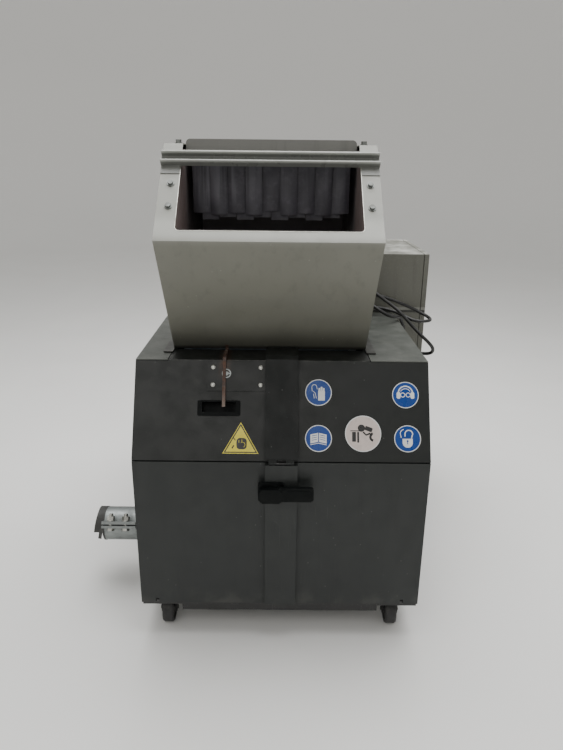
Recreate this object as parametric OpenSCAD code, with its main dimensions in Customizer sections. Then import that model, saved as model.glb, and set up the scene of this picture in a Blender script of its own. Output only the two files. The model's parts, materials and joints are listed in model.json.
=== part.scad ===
// Beside-the-press granulator: a tilt-back feed hopper over a sound enclosure on casters.
// Machine frame while drawing: X to the right, Y to the back from the lower door's face,
// Z up from the floor. on_base() moves everything so that the origin is the centre of the footprint.

/* [Enclosure] */
// Width of the enclosure
case_w = 700; // [680:1:720]
// Height of the deck above the floor
deck_z = 713; // [711:1:716]
// Height of the seam between lower door and upper cover
seam_z = 499; // [495:1:502]
// How far the upper cover leans back from upright
lean = 27.5; // [26:0.5:29]
// Sheet thickness of panels and doors
sheet = 2.5; // [2:0.5:3]
// How far the centre strip stands proud of the front
strip_proud = 12; // [10:1:12]
// Width of the centre strip
strip_w = 78; // [74:1:80]

/* [Hopper] */
// Width of the hopper over its side plates
hopper_w = 483; // [478:1:484]
// Left side plate of the hopper
hopper_x = -272; // [-273:1:-270]
// Height of the top of the hopper
hopper_top = 1200; // [1196:1:1204]
// Width of the mouth
mouth_w = 399; // [390:1:400]

/* [Cutting unit] */
// Radius of the circle that the rotor knives cut
cut_r = 110; // [108:1:110]
// Radius of the rotor shaft
shaft_r = 22; // [20:1:24]
// Radius of the rotor's pulley
big_pulley_r = 105; // [100:1:108]
// Radius of the motor's pulley
small_pulley_r = 52.5; // [50:0.5:56]

/* [Outlet] */
// Outer radius of the outlet pipe
pipe_r = 44; // [42:1:44]

/* [Casters] */
// Radius of a caster wheel
wheel_r = 37.5; // [36:0.5:38]
// Width of a caster wheel
wheel_w = 30; // [28:1:34]

/* [Electrical cabinet] */
// Width of the cabinet box over its side walls
cabinet_d = 382; // [376:1:384]
// Height of the cabinet
cabinet_h = 600; // [580:1:600]

/* [Hidden] */

// Footprint and its centre
cap_end_x = -529;
door_face_x = 453;
latch_face_y = -34;
knob_end_y = 1044;
origin_x = (cap_end_x + door_face_x) / 2;
origin_y = (latch_face_y + knob_end_y) / 2;

gap = 0.5;
half_w = case_w / 2;
case_back = 620;
unit_back = 998;
plate_z0 = 92;
pad_z = 84;
plate_z = 100;
plate_front = 6;

// Front: the cover leans back from the seam to the deck
cover_z0 = seam_z + 1.5;
door_z0 = 102;
door_z1 = seam_z - 1.5;
door_axis = [4, 106];
seam_axis = [-9, seam_z];
flange_x0 = -272;
flange_x1 = 211;
flange_y = 198;
sheet_y = sheet / cos(lean);
deck_front = (deck_z - seam_z) * tan(lean);
cover_len = (deck_z - seam_z) / cos(lean);

// Latch on the lower door
latch_x = -26;
latch_z = 427;

// Hopper outline in Y and Z
hop_x0 = hopper_x;
hop_x1 = hopper_x + hopper_w;
hop_z0 = deck_z + 1.5;
hop_bend = [-4, 1006];
hop_front = [201, hop_z0];
hop_peak = [192, hopper_top];
hop_back = 560;
mouth_x0 = hop_x0 + 43;
mouth_x1 = mouth_x0 + mouth_w;
hopper_axis = [588, 737];
hinge_xs = [-205, 145];
rail_s = [208, 238];
curtain_axis = [226, 1166];

// Cutting unit
rotor_axis = [360, 470];
unit_x0 = -230.5;
unit_x1 = 169.5;
cheek = 20;
cradle_axis = [505, 410];
bed_z = 462;
bed_t = 12;

// Drive
motor_axis = [800, 212];
pulley_x0 = -321;
pulley_w = 36;

// Outlet
pipe_axis = [270, 162];
coupling_x0 = -500;
coupling_x1 = -405;

// Cabinet
cab_x0 = 227;
cab_x1 = 437;
cab_y0 = 626;
cab_y1 = cab_y0 + cabinet_d;
cab_z0 = 296;
cab_z1 = cab_z0 + cabinet_h;
panel_x = 332;

// Casters: each wheel trails its swivel
caster_x = 292;
caster_ys = [91, 930];
trail = 28;

// Finger recess in the cover, and the round signs on it
grip_x = [-188, -109];
grip_up = [116, 140];
sign_r = 31.5;
sign_spots = [[87, 164.5], [293.5, 160.5], [87, 56], [296.5, 57]];

// Mains cable: from its gland over the hook in two loops, then behind the hopper to its coil
cable_r = 5;
gland_x = 256;
gland_z = 812;
gland_end = cab_y0 - 22;
route = [
    [gland_x, gland_end, gland_z], [gland_x, 580, 811], [274, 541, 795], [320, 537, 764],
    [355, 512, 740], [390, 497, 700], [426, 473, 668], [455, 480, 640], [459, 507, 615],
    [441, 534, 604], [409, 548, 607], [382, 544, 633], [380, 548, 661], [361, 541, 725],
    [335, 488, 729], [303, 476, 741], [262, 487, 768], [236, 527, 781], [233, 568, 780],
    [252, 600, 780], [292, 611, 773], [344, 607, 758], [392, 608, 739], [432, 612, 719],
    [457, 586, 709], [458, 551, 707], [435, 523, 710], [393, 520, 711], [358, 561, 729],
    [305, 582, 738], [262, 594, 738], [215, 598, 724], [183, 619, 728], [174, 653, 721],
    [171, 673, 686], [178, 689, 639], [185, 720, 607], [187, 763, 606], [170, 807, 606],
    [136, 844, 606]
];
coil_at = [82, 795, 600];

module on_base() {
    translate([-origin_x, -origin_y, 0]) children();
}

// Y of the cover's face at a height
function cover_y(z) = (z - seam_z) * tan(lean);

// The Y and Z of a point of the leaning cover, in from its face and up along it
function cover_point(y, up) =
    [y * cos(lean) + up * sin(lean), seam_z - y * sin(lean) + up * cos(lean)];

// A YZ outline extruded along X
module slab(x0, x1, points) {
    translate([x0, 0, 0])
        rotate([90, 0, 90])
            linear_extrude(x1 - x0) polygon(points);
}

// A block given by its lowest and highest corners
module block(low, high) {
    translate(low) cube(high - low);
}

// A rod along X
module rod_x(x0, x1, at, r, fn = 48) {
    translate([x0, at[0], at[1]])
        rotate([0, 90, 0]) cylinder(h = x1 - x0, r = r, $fn = fn);
}

// A rod along Y
module rod_y(y0, y1, x, z, r, fn = 48) {
    translate([x, y0, z])
        rotate([-90, 0, 0]) cylinder(h = y1 - y0, r = r, $fn = fn);
}

// Frame of the leaning cover: z runs up its face, y goes into the machine
module on_cover(x = 0, up = 0) {
    translate([x, 0, seam_z])
        rotate([-lean, 0, 0]) translate([0, 0, up]) children();
}

// Frame of the mouth face: z runs up the 45 degree slope, y goes into the hopper
module on_mouth(x = 0, up = 0) {
    slope = atan((hop_peak[0] - hop_bend[0]) / (hop_peak[1] - hop_bend[1]));
    translate([x, hop_bend[0], hop_bend[1]])
        rotate([-slope, 0, 0]) translate([0, 0, up]) children();
}

// A plate in XZ with rounded corners, thickness along +Y
module round_plate(x0, x1, z0, z1, t, r) {
    translate([0, t, 0])
        rotate([90, 0, 0])
            linear_extrude(t)
                union() {
                    translate([x0 + r, z0]) square([x1 - x0 - 2 * r, z1 - z0]);
                    translate([x0, z0 + r]) square([x1 - x0, z1 - z0 - 2 * r]);
                    for (x = [x0 + r, x1 - r], z = [z0 + r, z1 - r])
                        translate([x, z]) circle(r = r, $fn = 32);
                }
}

// ---- Enclosure ----

module base_plate() {
    color([0.16, 0.16, 0.15]) on_base() {
        block([-half_w + 2, plate_front, plate_z0], [half_w - 2, unit_back + 2, plate_z]);
        block([-120, 430, pad_z], [120, 570, plate_z0 + 1]);
        block([-250, 14, 69], [250, 34, plate_z0 + 1]);
    }
}

// Both side panels and the rear panel, which lets the belts through
module case_panels() {
    edge = sheet_y + 0.8;
    top = deck_z - sheet - gap;
    outline = [
        [10, plate_z], [10, 114], [3.3, 114], [3.3, seam_z],
        [cover_y(top) + edge, top], [case_back - 1, top], [case_back - 1, plate_z]
    ];
    color([0.24, 0.25, 0.24]) on_base()
        difference() {
            union() {
                slab(-half_w, -half_w + sheet, outline);
                slab(half_w - sheet, half_w, outline);
                block([-half_w, case_back - 3, plate_z], [half_w, case_back, top]);
            }
            rod_x(-half_w - 5, -half_w + 5, pipe_axis, pipe_r + 1);
            block([-330, case_back - 10, 170], [-276, case_back + 10, 490]);
        }
}

module deck_plate() {
    color([0.46, 0.48, 0.44]) on_base()
        difference() {
            block([-half_w, deck_front, deck_z - sheet], [half_w, case_back, deck_z]);
            block([flange_x0 - 2, 0, deck_z - 9], [flange_x1 + 2, flange_y + 5, deck_z + 9]);
            block([hop_x0 + 6, 150, deck_z - 9], [hop_x1 - 6, 536, deck_z + 9]);
        }
}

// The rail behind the seam carries the hinge that hides in the centre strip
module seam_rail() {
    color([0.2, 0.2, 0.19]) on_base() {
        block([-half_w + sheet + gap, 24, seam_z - 14], [half_w - sheet - gap, 40, seam_z + 14]);
        block([-10, seam_axis[0], seam_z - 1.1], [10, 24, seam_z + 1.1]);
        rod_x(-30, 30, seam_axis, 1.8);
    }
}

// Hinge lugs and pins of the hopper, the lower door and the screen cradle
module hinge_pins() {
    color([0.6, 0.6, 0.58]) on_base() {
        for (x = hinge_xs) {
            block([x, 572, deck_z], [x + 10, 604, 736]);
            rod_x(x, x + 10, hopper_axis, 16);
            rod_x(x - 14, x + 1, hopper_axis, 6);
        }
        for (side = [-1, 1]) {
            block([side * 309 - 3, 3, plate_z], [side * 309 + 3, 9, door_axis[1] + 3]);
            rod_x(side * 300 - 9, side * 300 + 9, door_axis, 2.5);
        }
        rod_x(unit_x0, unit_x0 + 22, cradle_axis, 5);
        rod_x(unit_x1 - 22, unit_x1, cradle_axis, 5);
    }
}

// ---- Cutting unit ----

module chamber_cheeks() {
    color([0.3, 0.33, 0.35]) on_base()
        for (x = [unit_x0 - cheek, unit_x1])
            difference() {
                block([x, 204, 300], [x + cheek, 532, 708]);
                rod_x(x - 1, x + cheek + 1, rotor_axis, shaft_r + 6);
            }
    color([0.3, 0.33, 0.35]) on_base()
        for (x = [unit_x0 - cheek, unit_x1], y = [190, 502])
            block([x, y, plate_z], [x + cheek, y + 30, 301]);
}

module chamber_beams() {
    color([0.3, 0.33, 0.35]) on_base() {
        block([unit_x0, 205, 425], [unit_x1, 241, bed_z]);
        block([unit_x0, 222, bed_z + bed_t], [unit_x1, 234, 708]);
        block([unit_x0, 479, 425], [unit_x1, 515, bed_z]);
        block([unit_x0, 508, bed_z + bed_t], [unit_x1, 520, 708]);
    }
}

module bed_knives() {
    reach = cut_r + 0.6;
    color([0.72, 0.73, 0.75]) on_base() {
        block([unit_x0 + gap, 205, bed_z], [unit_x1 - gap, rotor_axis[0] - reach, bed_z + bed_t]);
        block([unit_x0 + gap, rotor_axis[0] + reach, bed_z], [unit_x1 - gap, 520, bed_z + bed_t]);
    }
}

module bearings() {
    color([0.2, 0.3, 0.4]) on_base()
        for (x = [unit_x0 - cheek - 30, unit_x1 + cheek])
            difference() {
                union() {
                    rod_x(x, x + 30, rotor_axis, 46);
                    block([x + 9, rotor_axis[0] - 62, rotor_axis[1] - 20],
                          [x + 21, rotor_axis[0] + 62, rotor_axis[1] + 20]);
                }
                rod_x(x - 1, x + 31, rotor_axis, shaft_r + 0.05);
            }
}

// Points the knife side of the rotor outward, once for each of three knives
module each_knife() {
    for (a = [20:120:350])
        translate([0, rotor_axis[0], rotor_axis[1]]) rotate([a, 0, 0]) children();
}

module rotor() {
    color([0.35, 0.37, 0.4]) on_base() {
        rod_x(pulley_x0 - 2, 262, rotor_axis, shaft_r);
        rod_x(unit_x0 + 4, unit_x1 - 4, rotor_axis, 62);
        each_knife() block([unit_x0 + 6, -30, 40], [unit_x1 - 6, 0, 96]);
    }
}

module rotor_knives() {
    color([0.75, 0.76, 0.78]) on_base()
        each_knife() block([unit_x0 + 6, 0, 63], [unit_x1 - 6, 12, cut_r - 0.8]);
}

// A V-belt pulley with two grooves, its bore along X
module pulley(x0, at, r, bore) {
    groove = 9;
    translate([x0, at[0], at[1]])
        rotate([0, 90, 0])
            rotate_extrude($fn = 96)
                polygon([
                    [bore, 0], [r, 0], [r, 3], [r - groove, 5], [r - groove, 13], [r, 15],
                    [r, 21], [r - groove, 23], [r - groove, 31], [r, 33], [r, pulley_w],
                    [bore, pulley_w]
                ]);
}

module rotor_pulley() {
    color([0.25, 0.25, 0.26]) on_base()
        pulley(pulley_x0, rotor_axis, big_pulley_r, shaft_r);
}

module flywheel() {
    color([0.25, 0.25, 0.26]) on_base()
        difference() {
            rod_x(224, 258, rotor_axis, 100, 96);
            rod_x(223, 259, rotor_axis, shaft_r);
            rod_x(223, 232, rotor_axis, 78);
        }
}

// A half ring under the rotor, cut level at a height
module half_ring(x0, x1, r_in, r_out, top_z) {
    difference() {
        rod_x(x0, x1, rotor_axis, r_out, 96);
        rod_x(x0 - 1, x1 + 1, rotor_axis, r_in, 96);
        block([x0 - 1, 200, top_z], [x1 + 1, 520, 640]);
    }
}

module screen() {
    rows = 5;
    holes = 8;
    pitch_x = (unit_x1 - unit_x0 - 40) / holes;
    color([0.6, 0.61, 0.62]) on_base()
        difference() {
            half_ring(unit_x0 + 2, unit_x1 - 2, cut_r + 6, cut_r + 11, 436);
            for (i = [0:rows - 1], k = [0:holes - 1])
                translate([unit_x0 + 20 + (k + 0.5) * pitch_x, rotor_axis[0], rotor_axis[1]])
                    rotate([130 + i * 25, 0, 0])
                        translate([0, 0, cut_r + 3]) cylinder(h = 12, r = 9, $fn = 24);
        }
}

module screen_cradle() {
    color([0.32, 0.32, 0.3]) on_base()
        difference() {
            union() {
                for (x = [unit_x0 + 4, (unit_x0 + unit_x1) / 2 - 6, unit_x1 - 16])
                    half_ring(x, x + 12, cut_r + 11, cut_r + 32, 420);
                for (x = [unit_x0 + 4, unit_x1 - 16]) {
                    block([x, 478, cradle_axis[1] - 9], [x + 12, 505, cradle_axis[1] + 9]);
                    rod_x(x, x + 12, cradle_axis, 9);
                }
                for (y = [262, 446])
                    block([unit_x0 + 4, y, 352], [unit_x1 - 4, y + 12, 364]);
            }
            rod_x(unit_x0, unit_x1, cradle_axis, 5.05);
            rod_x(unit_x0, unit_x1, rotor_axis, cut_r + 11, 96);
        }
}

module collecting_pan() {
    outside = [[222, 262], [222, 114], [318, 114], [498, 262]];
    inside = [[225, 270], [225, 117], [316.8, 117], [503, 270]];
    color([0.62, 0.63, 0.64]) on_base()
        difference() {
            slab(unit_x0 + 2, unit_x1 - 2, outside);
            slab(unit_x0 + 5, unit_x1 - 5, inside);
            rod_x(unit_x0 - 2, unit_x0 + 8, pipe_axis, pipe_r + 0.3, 96);
        }
}

// ---- Outlet ----

module outlet_pipe() {
    color([0.6, 0.62, 0.62]) on_base()
        difference() {
            rod_x(coupling_x0, unit_x0 + 5, pipe_axis, pipe_r, 96);
            rod_x(coupling_x0 - 1, unit_x0 + 6, pipe_axis, pipe_r - 2, 96);
        }
}

// The coupling's frame: its axis is the pipe's, and its front flanges are turned up by 27 degrees
module on_coupling() {
    translate([0, pipe_axis[0], pipe_axis[1]])
        rotate([-27, 0, 0]) children();
}

module coupling_halves() {
    color([0.5, 0.52, 0.51]) on_base() on_coupling()
        difference() {
            union() {
                rod_x(coupling_x0, coupling_x1, [0, 0], pipe_r + 3, 96);
                block([coupling_x0, -76, -9], [coupling_x1, -42, 10]);
                block([coupling_x0, 42, -7], [coupling_x1, 58, 7]);
            }
            rod_x(coupling_x0 - 6, coupling_x1 + 1, [0, 0], pipe_r + 0.2, 96);
            block([coupling_x0 - 6, -80, -2], [coupling_x1 + 1, 62, 2]);
            for (x = [-477, -435])
                translate([x, -62, -20]) cylinder(h = 40, r = 6.3, $fn = 32);
        }
}

module coupling_bolts() {
    color([0.55, 0.56, 0.56]) on_base() on_coupling()
        for (x = [-477, -435])
            translate([x, -62, 0]) {
                translate([0, 0, -16]) cylinder(h = 47, r = 6, $fn = 32);
                translate([0, 0, 10]) cylinder(h = 2.5, r = 12, $fn = 32);
                translate([0, 0, 12.5]) rotate([0, 0, 15]) cylinder(h = 10.8, r = 11, $fn = 6);
                translate([0, 0, -16.5]) cylinder(h = 7.5, r = 11, $fn = 6);
            }
}

// A rubber plug: a sleeve in the pipe's end, a collar, and a hood over the upper half with a torn strap
module outlet_cap() {
    y = pipe_axis[0];
    z = pipe_axis[1];
    collar_x0 = coupling_x0 - 5;
    collar_x1 = coupling_x0 - 0.3;
    color([0.09, 0.1, 0.1]) on_base() {
        difference() {
            union() {
                rod_x(cap_end_x, collar_x1, pipe_axis, pipe_r + 4, 96);
                rod_x(collar_x1 - 1, coupling_x0 + 20, pipe_axis, pipe_r - 2.05, 96);
            }
            rod_x(cap_end_x - 1, coupling_x0 + 21, pipe_axis, pipe_r - 6, 96);
            rod_x(cap_end_x - 1, collar_x0, pipe_axis, pipe_r + 0.5, 96);
            block([cap_end_x - 1, y - 60, z - 60], [collar_x0, y + 60, z - 2]);
            translate([cap_end_x, y - 60, z - 2])
                rotate([0, 9, 0]) block([-40, 0, -20], [0, 120, 70]);
        }
        translate([cap_end_x + 10, y - pipe_r - 3.6, z - 22])
            rotate([0, 12, 0]) block([0, 0, 0], [9, 3, 24]);
    }
}

// ---- Drive ----

module motor_body() {
    r = 90;
    color([0.18, 0.3, 0.42]) on_base() {
        rod_x(-225, 40, motor_axis, r, 64);
        rod_x(-236, -225, motor_axis, r - 22, 64);
        rod_x(40, 74, motor_axis, r + 4, 64);
        for (x = [-195:22:25])
            difference() {
                rod_x(x, x + 5, motor_axis, r + 9, 64);
                block([x - 1, 700, 90], [x + 6, 900, 128]);
            }
        for (x = [-190, -10])
            block([x, 720, plate_z], [x + 40, 880, 150]);
        block([-150, 750, 298], [-30, 850, 350]);
    }
}

module motor_shaft() {
    color([0.6, 0.6, 0.6]) on_base()
        rod_x(pulley_x0 - 2, -237, motor_axis, 14);
}

module motor_pulley() {
    color([0.25, 0.25, 0.26]) on_base()
        pulley(pulley_x0, motor_axis, small_pulley_r, 14);
}

// The flat outline that a belt follows round both pulleys
module belt_outline(drop) {
    hull() {
        translate(rotor_axis) circle(r = big_pulley_r - drop, $fn = 72);
        translate(motor_axis) circle(r = small_pulley_r - drop, $fn = 72);
    }
}

module drive_belts() {
    color([0.06, 0.06, 0.06]) on_base()
        for (x = [5.8, 23.8])
            translate([pulley_x0 + x, 0, 0])
                rotate([90, 0, 90])
                    linear_extrude(6.4)
                        difference() {
                            belt_outline(0.5);
                            belt_outline(8.3);
                        }
}

module drive_housing() {
    z_left = 600;
    z_right = cab_z0;
    x_step = 223;
    color([0.24, 0.25, 0.24]) on_base()
        difference() {
            union() {
                block([-half_w + 2, case_back + 1, plate_z], [x_step, unit_back, z_left]);
                block([x_step - 1, case_back + 1, plate_z], [half_w - 2, unit_back, z_right]);
            }
            block([-half_w + 2 + sheet, 600, plate_z - 1],
                  [x_step - sheet, unit_back - sheet, z_left - sheet]);
            block([x_step - 10, 600, plate_z - 1],
                  [half_w - 2 - sheet, unit_back - sheet, z_right - sheet]);
            for (x = [-290, -130, 30], k = [0:9])
                block([x, unit_back - 5, 200 + k * 26], [x + 120, unit_back + 5, 208 + k * 26]);
        }
}

// ---- Electrical cabinet ----

// The box, with a hook for the cable on its front
module cabinet_box() {
    wall = 2;
    color([0.36, 0.37, 0.34]) on_base()
        difference() {
            union() {
                block([cab_x0, cab_y0, cab_z0], [cab_x1, cab_y1, cab_z1]);
                block([272, cab_y0 - 3, 755], [292, cab_y0 + 1, 800]);
                block([277, cab_y0 - 30, 763], [287, cab_y0, 768]);
                block([277, cab_y0 - 30, 763], [287, cab_y0 - 25, 790]);
            }
            block([cab_x0 + wall, cab_y0 + wall, cab_z0 + wall],
                  [cab_x1 + 1, cab_y1 - wall, cab_z1 - wall]);
            rod_y(cab_y1 - 5, cab_y1 + 5, panel_x, 800, 8.2);
            rod_y(cab_y1 - 5, cab_y1 + 5, panel_x - 30, 720, 11.2);
            rod_y(cab_y1 - 5, cab_y1 + 5, panel_x + 30, 720, 11.2);
        }
}

// Mounting plate with contactor, overload relay, transformer and terminals
module cabinet_gear() {
    x = cab_x0 + 14;
    color([0.7, 0.7, 0.66]) on_base() {
        block([x, cab_y0 + 30, cab_z0 + 40], [x + 3, cab_y1 - 30, cab_z1 - 50]);
        block([x + 3, cab_y0 + 50, cab_z0 + 420], [x + 80, cab_y0 + 100, cab_z0 + 500]);
        block([x + 3, cab_y0 + 110, cab_z0 + 420], [x + 80, cab_y0 + 160, cab_z0 + 500]);
        block([x + 3, cab_y0 + 170, cab_z0 + 430], [x + 65, cab_y0 + 230, cab_z0 + 495]);
        block([x + 3, cab_y0 + 60, cab_z0 + 250], [x + 90, cab_y0 + 150, cab_z0 + 340]);
        block([x + 3, cab_y0 + 60, cab_z0 + 100], [x + 45, cab_y0 + 300, cab_z0 + 140]);
    }
}

module cabinet_door() {
    x = cab_x1 + 2;
    color([0.4, 0.41, 0.38]) on_base() {
        difference() {
            block([x, cab_y0, cab_z0], [door_face_x, cab_y1, cab_z1]);
            block([x - 1, cab_y0 + 2, cab_z0 + 2], [door_face_x - 2, cab_y1 - 2, cab_z1 - 2]);
        }
        for (z = [cab_z0 + 90, cab_z1 - 90])
            rod_x(door_face_x - 12, door_face_x - 1, [cab_y0 + 24, z], 9);
    }
}

module isolator_knob() {
    color([0.7, 0.1, 0.08]) on_base() {
        rod_y(cab_y1 - 20, cab_y1 + 8, panel_x, 800, 8);
        rod_y(cab_y1 + 1, cab_y1 + 14, panel_x, 800, 28);
        block([panel_x - 6, cab_y1 + 13, 774], [panel_x + 6, knob_end_y, 826]);
    }
}

// A push button through the rear wall of the cabinet
module push_button(x, r_head, reach) {
    rod_y(cab_y1 - 22, cab_y1 + 8, x, 720, 11);
    rod_y(cab_y1 + 7, cab_y1 + reach, x, 720, r_head);
}

module start_button() {
    color([0.1, 0.5, 0.2]) on_base() push_button(panel_x - 30, 13, 13);
}

module stop_button() {
    color([0.75, 0.08, 0.06]) on_base() push_button(panel_x + 30, 20, 28);
}

// ---- Mains cable ----

module cable_gland() {
    color([0.08, 0.08, 0.08]) on_base() {
        rod_y(cab_y0 - 6, cab_y0, gland_x, gland_z, 14, 6);
        rod_y(gland_end + 1, cab_y0 - 6, gland_x, gland_z, 11);
        translate([gland_x, gland_end + 2, gland_z])
            rotate([90, 0, 0]) cylinder(h = 24, r1 = 9, r2 = 6.5, $fn = 32);
    }
}

function unit(v) = v / norm(v);

// A point of the route, with the row of points carried on straight past its ends
function route_point(i) =
    i < 0 ? 2 * route[0] - route[1] :
    i >= len(route) ? 2 * route[len(route) - 1] - route[len(route) - 2] : route[i];

// The smooth curve along the route: u counts the route's points
function route_at(u) =
    let (i = floor(u), t = u - i)
        (pow(1 - t, 3) * route_point(i - 1) + (3 * t * t * t - 6 * t * t + 4) * route_point(i)
        + (-3 * t * t * t + 3 * t * t + 3 * t + 1) * route_point(i + 1)
        + t * t * t * route_point(i + 2)) / 6;

function tangent_at(u) = unit(route_at(u + 0.05) - route_at(u - 0.05));

// Normals of the rings, each turned as little as possible from the one before
function ring_normals(us, k, n) =
    k == len(us) ? [] :
    let (t = tangent_at(us[k]), m = unit(n - (n * t) * t))
        concat([m], ring_normals(us, k + 1, m));

module mains_cable() {
    sides = 10;
    last = len(route) - 1;
    us = [for (k = [0:2 * last]) min(max(k / 2, 0.02), last - 0.02)];
    normals = ring_normals(us, 0, [1, 0, 0]);
    points = [
        for (k = [0:len(us) - 1])
            let (t = tangent_at(us[k]), n = normals[k], b = cross(t, n))
                for (a = [0:sides - 1])
                    route_at(us[k]) + cable_r * (cos(a * 360 / sides) * n + sin(a * 360 / sides) * b)
    ];
    walls = [
        for (k = [0:len(us) - 2], a = [0:sides - 1])
            let (i = k * sides + a, j = k * sides + (a + 1) % sides)
                each [[i, j + sides, j], [i, i + sides, j + sides]]
    ];
    first_end = [for (a = [0:sides - 1]) a];
    last_end = [for (a = [sides - 1:-1:0]) (len(us) - 1) * sides + a];
    color([0.06, 0.06, 0.06]) on_base()
        polyhedron(points = points, faces = concat(walls, [first_end, last_end]));
}

// Seven turns in two layers, as one ring
module cable_coil() {
    color([0.06, 0.06, 0.06]) on_base()
        translate(coil_at)
            rotate_extrude($fn = 64)
                polygon([[38, 0], [78, 0], [78, 11], [73, 19], [43, 19], [38, 11]]);
}

// Industrial plug, lying on the drive housing beside the coil
module mains_plug() {
    r = 26;
    at = [863, 600 + r];
    color([0.5, 0.08, 0.07]) on_base() {
        rod_x(6, 64, at, 8.5);
        rod_x(-14, 7, at, 17);
        rod_x(-52, -13, at, r, 64);
        difference() {
            rod_x(-102, -51, at, r - 2, 64);
            rod_x(-103, -60, at, r - 5, 64);
        }
        for (a = [30:72:330])
            translate([0, at[0], at[1]])
                rotate([a, 0, 0]) translate([0, 0, 13]) rod_x(-96, -59, [0, 0], 2.5, 24);
    }
}

// ---- Upper cover ----

module upper_cover() {
    z1 = deck_z - sheet - gap;
    color([0.215, 0.225, 0.215]) on_base()
        difference() {
            union() {
                slab(-half_w, half_w, [
                    [cover_y(cover_z0), cover_z0], [cover_y(z1), z1],
                    [cover_y(z1) + sheet_y, z1], [cover_y(cover_z0) + sheet_y, cover_z0]
                ]);
                slab(flange_x0, flange_x1, [
                    [cover_y(z1 - 4), z1 - 4], [deck_front, deck_z], [flange_y, deck_z],
                    [flange_y, deck_z - sheet], [deck_front + 2, deck_z - sheet],
                    [cover_y(z1 - 4) + sheet_y, z1 - 4]
                ]);
                on_cover() block([-322, sheet - 0.5, 30], [322, 18, 32.5]);
                on_cover() block([-322, sheet - 0.5, 205], [322, 18, 207.5]);
                for (x = [-322, 319.5])
                    on_cover() block([x, sheet - 0.5, 30], [x + 2.5, 18, 207.5]);
            }
            on_cover()
                block([grip_x[0] - 6, -5, grip_up[0] - 4], [grip_x[1] + 6, 10, grip_up[1] + 4]);
        }
}

module cover_strip() {
    half = strip_w / 2;
    top_y = flange_y - strip_proud - 1;
    face = strip_proud;
    color([0.2, 0.21, 0.2]) on_base()
        difference() {
            union() {
                slab(-half, half, [
                    cover_point(0, 5.5), cover_point(-face, 5.5), cover_point(-face, cover_len),
                    [deck_front + 1, deck_z + face], [top_y, deck_z + face], [flange_y - 2, deck_z],
                    [deck_front, deck_z]
                ]);
                for (x = [-30, 11]) {
                    rod_x(x, x + 19, seam_axis, 3);
                    slab(x, x + 19, [[-11, 500], [-7.5, 499], [1, 507], [-6, 513]]);
                }
            }
            rod_x(-40, 40, seam_axis, 1.85);
        }
}

module lock_plate() {
    color([0.2, 0.21, 0.2]) on_base()
        difference() {
            on_cover() block([-178, -2, 166], [-40, 0, 236]);
            on_cover(-132, 208) rod_y(-5, 5, 0, 0, 5.1);
        }
}

// The ring that turns on the safety lock's stud
module lock_ring() {
    color([0.75, 0.72, 0.62]) on_base()
        on_cover(-132, 208) {
            rod_y(-3.5, -0.4, 0, 0, 5);
            difference() {
                rod_y(-4.4, -2.3, 0, 0, 11);
                rod_y(-5, -2, 0, 0, 8.3);
            }
            block([-9, -4, -1.5], [9, -2.6, 1.5]);
        }
}

// A flat spring strip over flange and cover, clear of the ring that it passes
module lock_strip() {
    x0 = -141;
    rise = 5;
    t = 3;
    color([0.3, 0.2, 0.16]) on_base() {
        on_cover() block([x0, -rise - t, 128], [x0 + 7.5, -rise, cover_len + 2]);
        on_cover() block([x0, -rise - 0.5, 148], [x0 + 7.5, 0, 156]);
        slab(x0, x0 + 7.5, [
            [deck_front - 6, deck_z + 3], [deck_front - 3, deck_z + rise + t],
            [187.3, deck_z + rise + t], [181, deck_z + 16], [183.5, deck_z + 16],
            [191, deck_z + rise], [deck_front, deck_z + rise]
        ]);
    }
}

module recess_grip() {
    color([0.05, 0.05, 0.05]) on_base()
        on_cover()
            difference() {
                union() {
                    translate([0, -2.5, 0]) round_plate(-199, -98, 107, 143, 2.5, 3);
                    block([grip_x[0] - 4, -0.5, grip_up[0] - 3], [grip_x[1] + 4, 22, grip_up[1] + 3]);
                }
                block([grip_x[0], -4, grip_up[0]], [grip_x[1], 20, grip_up[1]]);
            }
}

module cover_screws() {
    color([0.8, 0.8, 0.78]) on_base()
        for (x = [-164, -50.5], up = [181, 223])
            on_cover(x, up)
                intersection() {
                    rod_y(-6, -2, 0, 0, 5.2);
                    translate([0, 3.4, 0]) sphere(r = 9, $fn = 48);
                }
}

module stickers() {
    t = 0.6;
    color([0, 0.25, 0.6]) on_base()
        for (s = sign_spots)
            on_cover(s[0], s[1]) rod_y(-t, 0, 0, 0, sign_r, 64);
    color([0.85, 0.75, 0.7]) on_base()
        on_cover(192, 68) rod_y(-t, 0, 0, 0, 42.5, 64);
    color([0.8, 0.75, 0.3]) on_base()
        on_cover(-96, 19)
            rotate([90, 0, 0]) linear_extrude(t) polygon([[-42.5, 0], [42.5, 0], [0, 73.5]]);
}

// ---- Lower door ----

module lower_door() {
    rib = 17;
    color([0.215, 0.225, 0.22]) on_base()
        difference() {
            union() {
                block([-half_w, 0, door_z0], [half_w, sheet, door_z1]);
                for (z = [125, 470])
                    block([-322, sheet - 0.5, z], [322, rib, z + 2.5]);
                for (x = [-322, 319.5])
                    block([x, sheet - 0.5, 125], [x + 2.5, rib, 472.5]);
                for (side = [-1, 1])
                    block([side * 300 - 5, 0.5, door_z0], [side * 300 + 5, 8.5, 111]);
            }
            for (side = [-1, 1]) {
                block([side * 309 - 4, -1, door_z0 - 1], [side * 309 + 4, 12, 114]);
                rod_x(side * 300 - 12, side * 300 + 12, door_axis, 2.55);
            }
            rod_y(-1, 5, latch_x, latch_z, 9.5);
        }
}

module door_strip() {
    half = strip_w / 2 - 1;
    color([0.2, 0.21, 0.2]) on_base()
        difference() {
            block([-half, -strip_proud, 107], [half, 0, door_z1 - 2]);
            rod_y(-strip_proud - 1, 1, latch_x, latch_z, 9.5);
        }
}

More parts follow.
